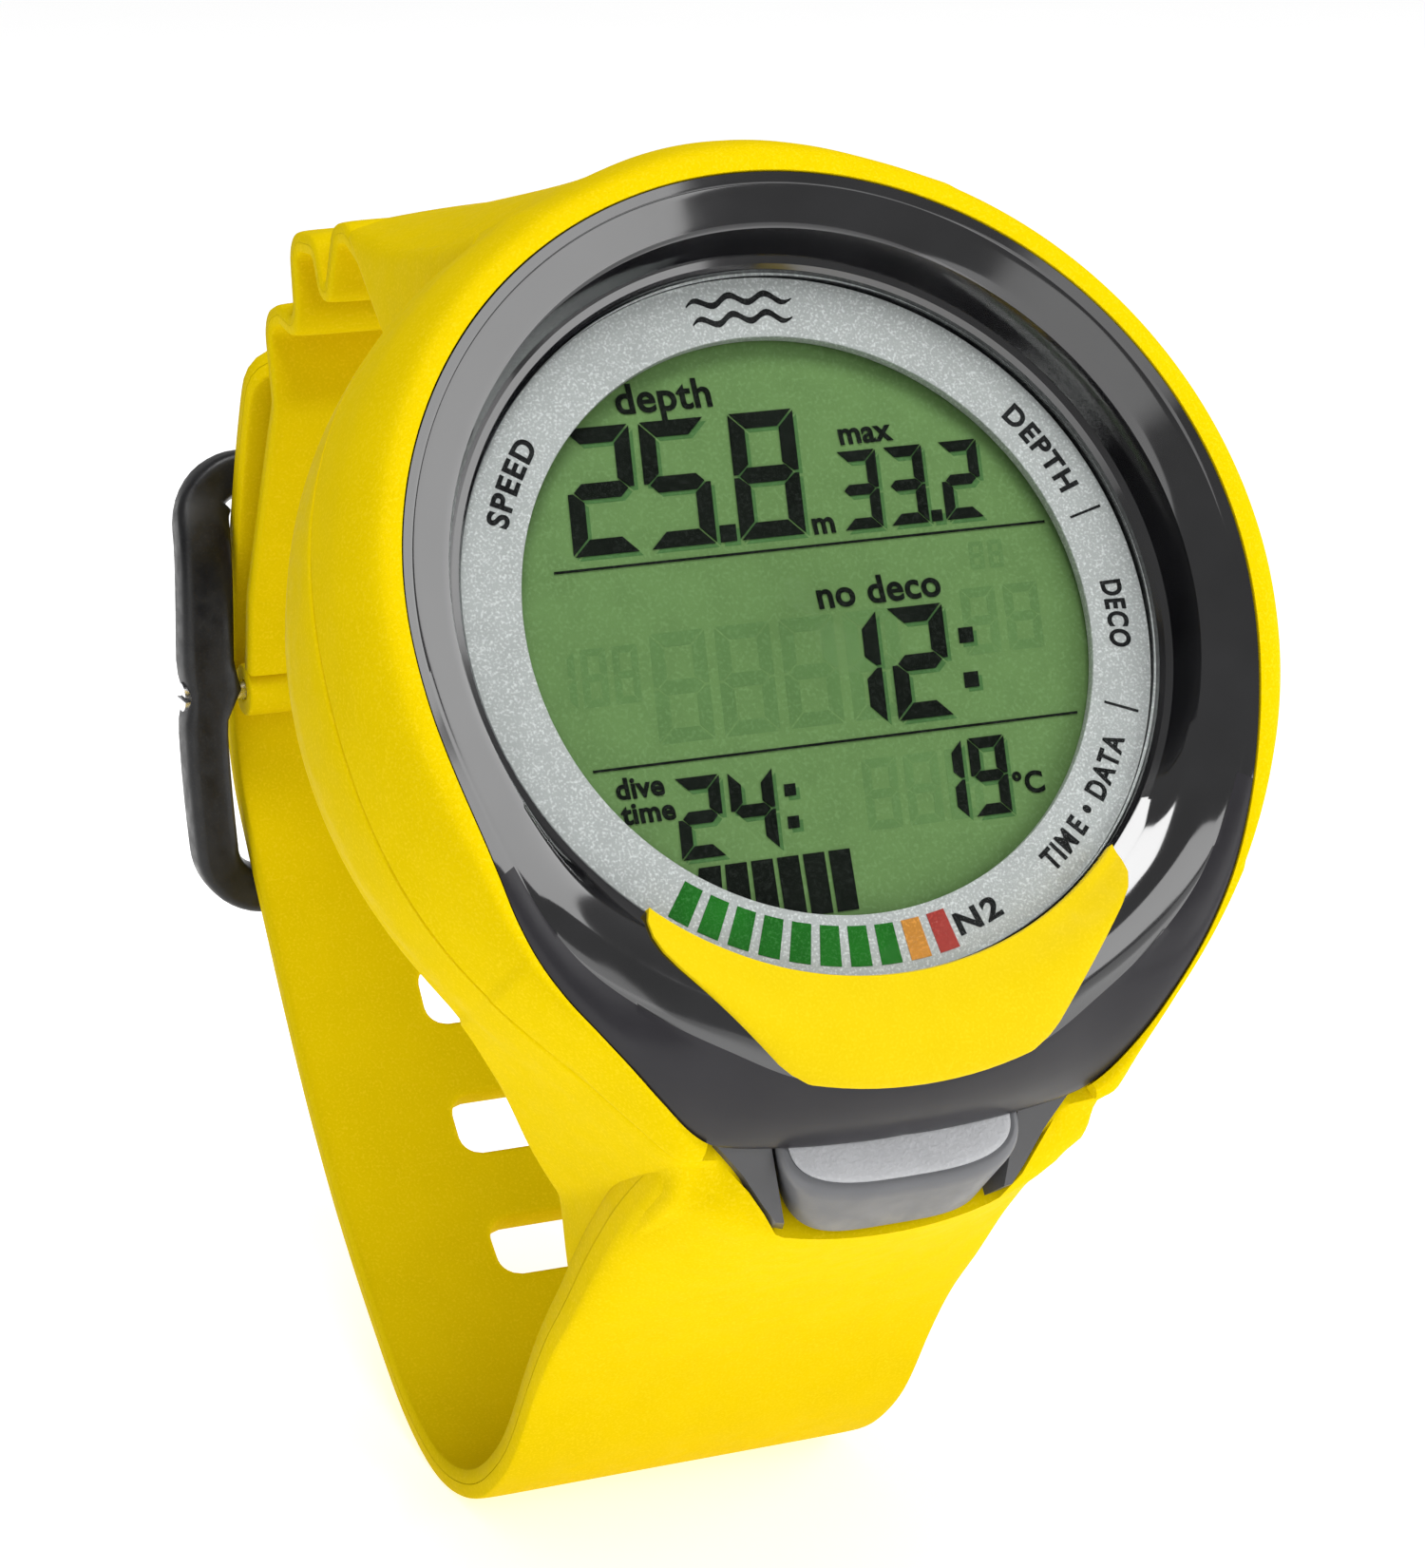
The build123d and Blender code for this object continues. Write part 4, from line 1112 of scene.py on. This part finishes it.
def tube(name, x0, x1, outer, inner, material, **ties):
    """Rounded sleeve round the buckle pin."""
    segments, count = 64, 16
    profile = rounded([(x0, inner), (x1, inner), (x1, outer), (x0, outer)], 0.35, count // 4)
    angle = np.arange(segments) * 2 * math.pi / segments
    x = np.broadcast_to(profile[:, 0], (segments, count))
    y = PIN_Y + profile[:, 1] * np.cos(angle)[:, None]
    z = PIN_Z + profile[:, 1] * np.sin(angle)[:, None]
    piece(name, in_side(x, y, z), grid_faces(segments, count, True, True), material, **ties)


for sign, label in ((-1, "left"), (1, "right")):
    low, high = sorted((sign * GAP_HALF, sign * STRAP_HALF))
    tube(f"strap_loop_{label}", low, high, 2.35, PIN_R + 0.1, yellow, slot="strap")

# ---- buckle ----
FRAME_LINE = [
    (87.7, -3.7), (86.9, -7.6), (84.4, -12.0), (83.2, -17.5), (83.0, -24.6), (82.9, -31.0), (83.0, -38.0),
    (83.4, -42.0), (83.5, -45.6),
]
BUCKLE_HALF, RAIL_W, BUCKLE_T, BUCKLE_CORNER = 23.3, 4.0, 3.6, 4.4
buckle_line = Line(smoothed(FRAME_LINE))


def buckle_path(half, low, high, corner):
    """Closed rounded rectangle in the (x, s) layout."""
    per_side, per_corner = 22, 12
    corners = [(half - corner, high - corner, 0), (-half + corner, high - corner, 90),
               (-half + corner, low + corner, 180), (half - corner, low + corner, 270)]
    out = []
    for k, (cx, cs, start) in enumerate(corners):
        arc = np.radians(start + np.linspace(0, 90, per_corner))
        out += [(cx + corner * math.cos(a), cs + corner * math.sin(a)) for a in arc]
        nx, ns, angle = corners[(k + 1) % 4]
        end = (nx + corner * math.cos(math.radians(angle)), ns + corner * math.sin(math.radians(angle)))
        out += [tuple(p) for p in np.linspace(out[-1], end, per_side + 1)[1:-1]]
    return np.array(out)


def build_buckle():
    end = 0.2 + RAIL_W / 2
    path = buckle_path(BUCKLE_HALF - RAIL_W / 2, end, buckle_line.length - end, BUCKLE_CORNER)
    ahead = np.roll(path, -1, 0) - np.roll(path, 1, 0)
    ahead /= np.linalg.norm(ahead, axis=1, keepdims=True)
    outward = np.stack((ahead[:, 1], -ahead[:, 0]), -1)
    turn = np.linspace(0, 2 * math.pi, 28, endpoint=False)
    wide = signed_power(np.cos(turn), 0.45)
    tall = signed_power(np.sin(turn), 0.45) * BUCKLE_T / 2
    pin_s = buckle_line.nearest(PIN_Y, PIN_Z)
    rail = np.abs(path[:, 0]) > BUCKLE_HALF - RAIL_W / 2 - 0.4
    past_pin = path[:, 1] - pin_s
    boss = np.exp(-((past_pin / 1.5) ** 2)) * 1.2                   # a boss holds the pin on either side
    upper = smooth_step((1 - past_pin) / 3) * 0.8                   # the rails are broader above it
    inward = RAIL_W / 2 + np.where(rail, boss + upper, 0)
    dimple = np.exp(-((past_pin / 1.6) ** 2)) * np.where(rail, 0.55, 0)     # the screw head sits in it
    reach = np.where(wide > 0, RAIL_W / 2 - dimple[:, None], inward[:, None])
    drawn_in = 1 - 0.075 * (past_pin / 21) ** 2                     # the frame narrows towards both bars
    x = path[:, None, 0] * drawn_in[:, None] + outward[:, None, 0] * wide * reach
    s = path[:, None, 1] + outward[:, None, 1] * wide * reach
    points = bent(buckle_line, x, s, np.broadcast_to(tall, x.shape))
    piece("buckle", points, grid_faces(len(path), len(turn), True, True), buckle_black,
          slot="buckle", stands_for=("buckle_frame",), sharp=70)


build_buckle()

PRONG = [(83.2, -26.4), (83.2, -29.2), (88.2, -34.0), (88.2, -37.6), (86.3, -44.0)]
PRONG_BEND_R = 1.3
prong_line = Line(round_corners(PRONG, PRONG_BEND_R))


def build_prong():
    s = np.linspace(0, prong_line.length, 60)
    turn = np.linspace(0, 2 * math.pi, 24, endpoint=False)
    share = s / prong_line.length
    half_x = 2.6 - 0.7 * smooth_step((share - 0.55) / 0.45)
    half_t = 0.8 - 0.25 * smooth_step((share - 0.8) / 0.2)
    x = half_x[:, None] * signed_power(np.cos(turn), 0.5)
    lift = half_t[:, None] * signed_power(np.sin(turn), 0.5)
    base, normal = prong_line.point(s), prong_line.normal(s, 0.4)
    y = base[:, None, 0] + normal[:, None, 0] * lift
    z = base[:, None, 1] + normal[:, None, 1] * lift
    piece("prong", in_side(x, y, z), capped_faces(len(s), len(turn)), buckle_black, body="prong",
          slot="buckle", stands_for=("buckle_prong",), sharp=50)


build_prong()
tube("prong_eye", -2.55, 2.55, 2.2, PIN_R + 0.08, buckle_black, body="prong", slot="buckle")

# ---- button: a cap that narrows downwards, with a grained pad on its face ----
CAP_REAR_V, CAP_CENTRE_V = -36.6, -37.0
CAP_FACE = (-5.6, 9.9, 4.9, 3.0)           # height, half width, reach below the centre line, squareness
CAP_BACK = (-11.0, 8.2, 6.6, 4.0)


def cap_outline(n, inset):
    """Outline of the cap in (x, v) at a height: straight back and sides, bowed front with round corners."""
    share = (n - CAP_BACK[0]) / (CAP_FACE[0] - CAP_BACK[0])
    half, reach, square = (b + (f - b) * share for f, b in zip(CAP_FACE[1:], CAP_BACK[1:]))
    u = np.linspace(math.pi, 0, 49)
    x = (half - inset) * signed_power(np.cos(u), 2 / square)
    v = CAP_CENTRE_V - (reach - inset) * np.sin(u) ** (2 / square)
    return np.vstack(([(x[0], CAP_REAR_V)], np.stack((x, v), -1), [(x[-1], CAP_REAR_V)]))


def stacked(name, levels, material, **ties):
    """Piece made of cap outlines, each an (inset, height) pair."""
    loops = []
    for inset, n in levels:
        p = cap_outline(n, inset)
        loops.append(on_dial(p[:, 0], p[:, 1], n))
    faces = capped_faces(len(loops), len(loops[0]))
    piece(name, np.stack(loops), faces, material, body="button", slot="button", **ties)


back_n, face_n = CAP_BACK[0], CAP_FACE[0]
stacked(
    "button_body",
    [(0.45, back_n), (0.14, back_n + 0.1), (0.0, back_n + 0.45), (0.0, -8.5), (0.0, face_n - 0.9),
     (0.06, face_n - 0.5), (0.2, face_n - 0.22), (0.42, face_n - 0.05), (0.7, face_n), (0.9, face_n - 0.08)],
    button_grey, stands_for=("button_cap",), sharp=40,
)
stacked(                                                  # the pad is a low cushion inside the cap's rim
    "button_pad",
    [(0.95, face_n - 0.2), (0.95, face_n), (1.05, face_n + 0.07), (1.4, face_n + 0.11), (3.0, face_n + 0.13)],
    pad_grey, sharp=50,
)

# ---- CAD nodes that stay, with their finishes ----
KEPT = {
    housing_black: ("case_housing",),
    seal_rubber: ("lens_gasket", "door_gasket", "button_seal", "zebra_strips"),
    milky: ("light_guide",),
    board_green: ("circuit_board",),
    chip_black: ("microcontroller", "memory_chip", "tact_switch"),
    steel: ("crystal_can", "pressure_sensor", "battery", "case_screws", "button_stem", "button_spring",
            "strap_pins", "buckle_pin", "pin_screws"),
    brass: ("sounder", "battery_contacts"),
    door_black: ("battery_door",),
}
for finish, names in KEPT.items():
    for name in names:
        node = frame["nodes"][name]
        node.data.materials.clear()
        node.data.materials.append(finish)

# ---- floor, lights, camera ----
floor_mesh = bpy.data.meshes.new("floor")
FLOOR_HALF = 6.0                                  # metres
floor_corners = [(x * FLOOR_HALF, y * FLOOR_HALF, 0) for x, y in ((-1, -1), (1, -1), (1, 1), (-1, 1))]
floor_mesh.from_pydata(floor_corners, [], [(0, 1, 2, 3)])
floor = bpy.data.objects.new("floor", floor_mesh)
bpy.context.scene.collection.objects.link(floor)
pale = surface("pale_floor", (0.93, 0.93, 0.93), 0.8, mottle=0.004, mottle_mm=60, level=0.1)
glow = pale.node_tree.nodes["Principled BSDF"].inputs         # light of its own keeps the floor white
glow["Emission Color"].default_value = (1, 1, 1, 1)
glow["Emission Strength"].default_value = 0.6
floor_mesh.materials.append(pale)

scene = bpy.context.scene
scene.view_settings.view_transform = "Standard"
world = bpy.data.worlds.new("studio")
scene.world = world
world.use_nodes = True
world.node_tree.nodes["Background"].inputs["Color"].default_value = (1, 1, 1, 1)
world.node_tree.nodes["Background"].inputs["Strength"].default_value = 0.30

CENTRE = Vector((0.0, 0.0, 0.06))


def softbox(name, azimuth, elevation, distance, width, height, power):
    """Rectangular area light aimed at the object; azimuth 0 is in front, positive to its right."""
    a, e = math.radians(azimuth), math.radians(elevation)
    lamp = bpy.data.lights.new(name, "AREA")
    lamp.shape = "RECTANGLE"
    lamp.size, lamp.size_y = width, height
    lamp.energy = power
    holder = bpy.data.objects.new(name, lamp)
    away = Vector((math.sin(a) * math.cos(e), -math.cos(a) * math.cos(e), math.sin(e)))
    holder.location = CENTRE + away * distance
    holder.rotation_mode = "QUATERNION"
    holder.rotation_quaternion = away.to_track_quat("Z", "Y")
    scene.collection.objects.link(holder)


softbox("top", -8, 75, 0.75, 0.42, 0.32, 3.8)
softbox("side_card", 62, 19, 0.6, 0.75, 0.36, 2.2)
softbox("front", -24, 14, 0.8, 0.7, 0.6, 1.5)

# The camera stands where the dial is seen 23.6 degrees from its left and 16.8 degrees from above.
YAW, RISE, RANGE = math.radians(23.61), math.radians(16.76), 352.5
OFF_RIGHT, OFF_UP = -7.43, -12.03
LENS_MM, SENSOR_MM = 109.86, 36.0
back = Vector((-math.sin(YAW) * math.cos(RISE), -math.cos(YAW) * math.cos(RISE), math.sin(RISE)))
right = Vector((math.cos(YAW), -math.sin(YAW), 0.0))
up = back.cross(right)
lens_data = bpy.data.cameras.new("camera")
lens_data.lens, lens_data.sensor_width = LENS_MM, SENSOR_MM
lens_data.clip_start, lens_data.clip_end = 0.01, 20
camera = bpy.data.objects.new("camera", lens_data)
scene.collection.objects.link(camera)
camera.rotation_mode = "QUATERNION"
camera.rotation_quaternion = Matrix((right, up, back)).transposed().to_quaternion()
camera.location = Vector(ORIGIN) + MM * (RANGE * back + OFF_RIGHT * right + OFF_UP * up)
scene.camera = camera
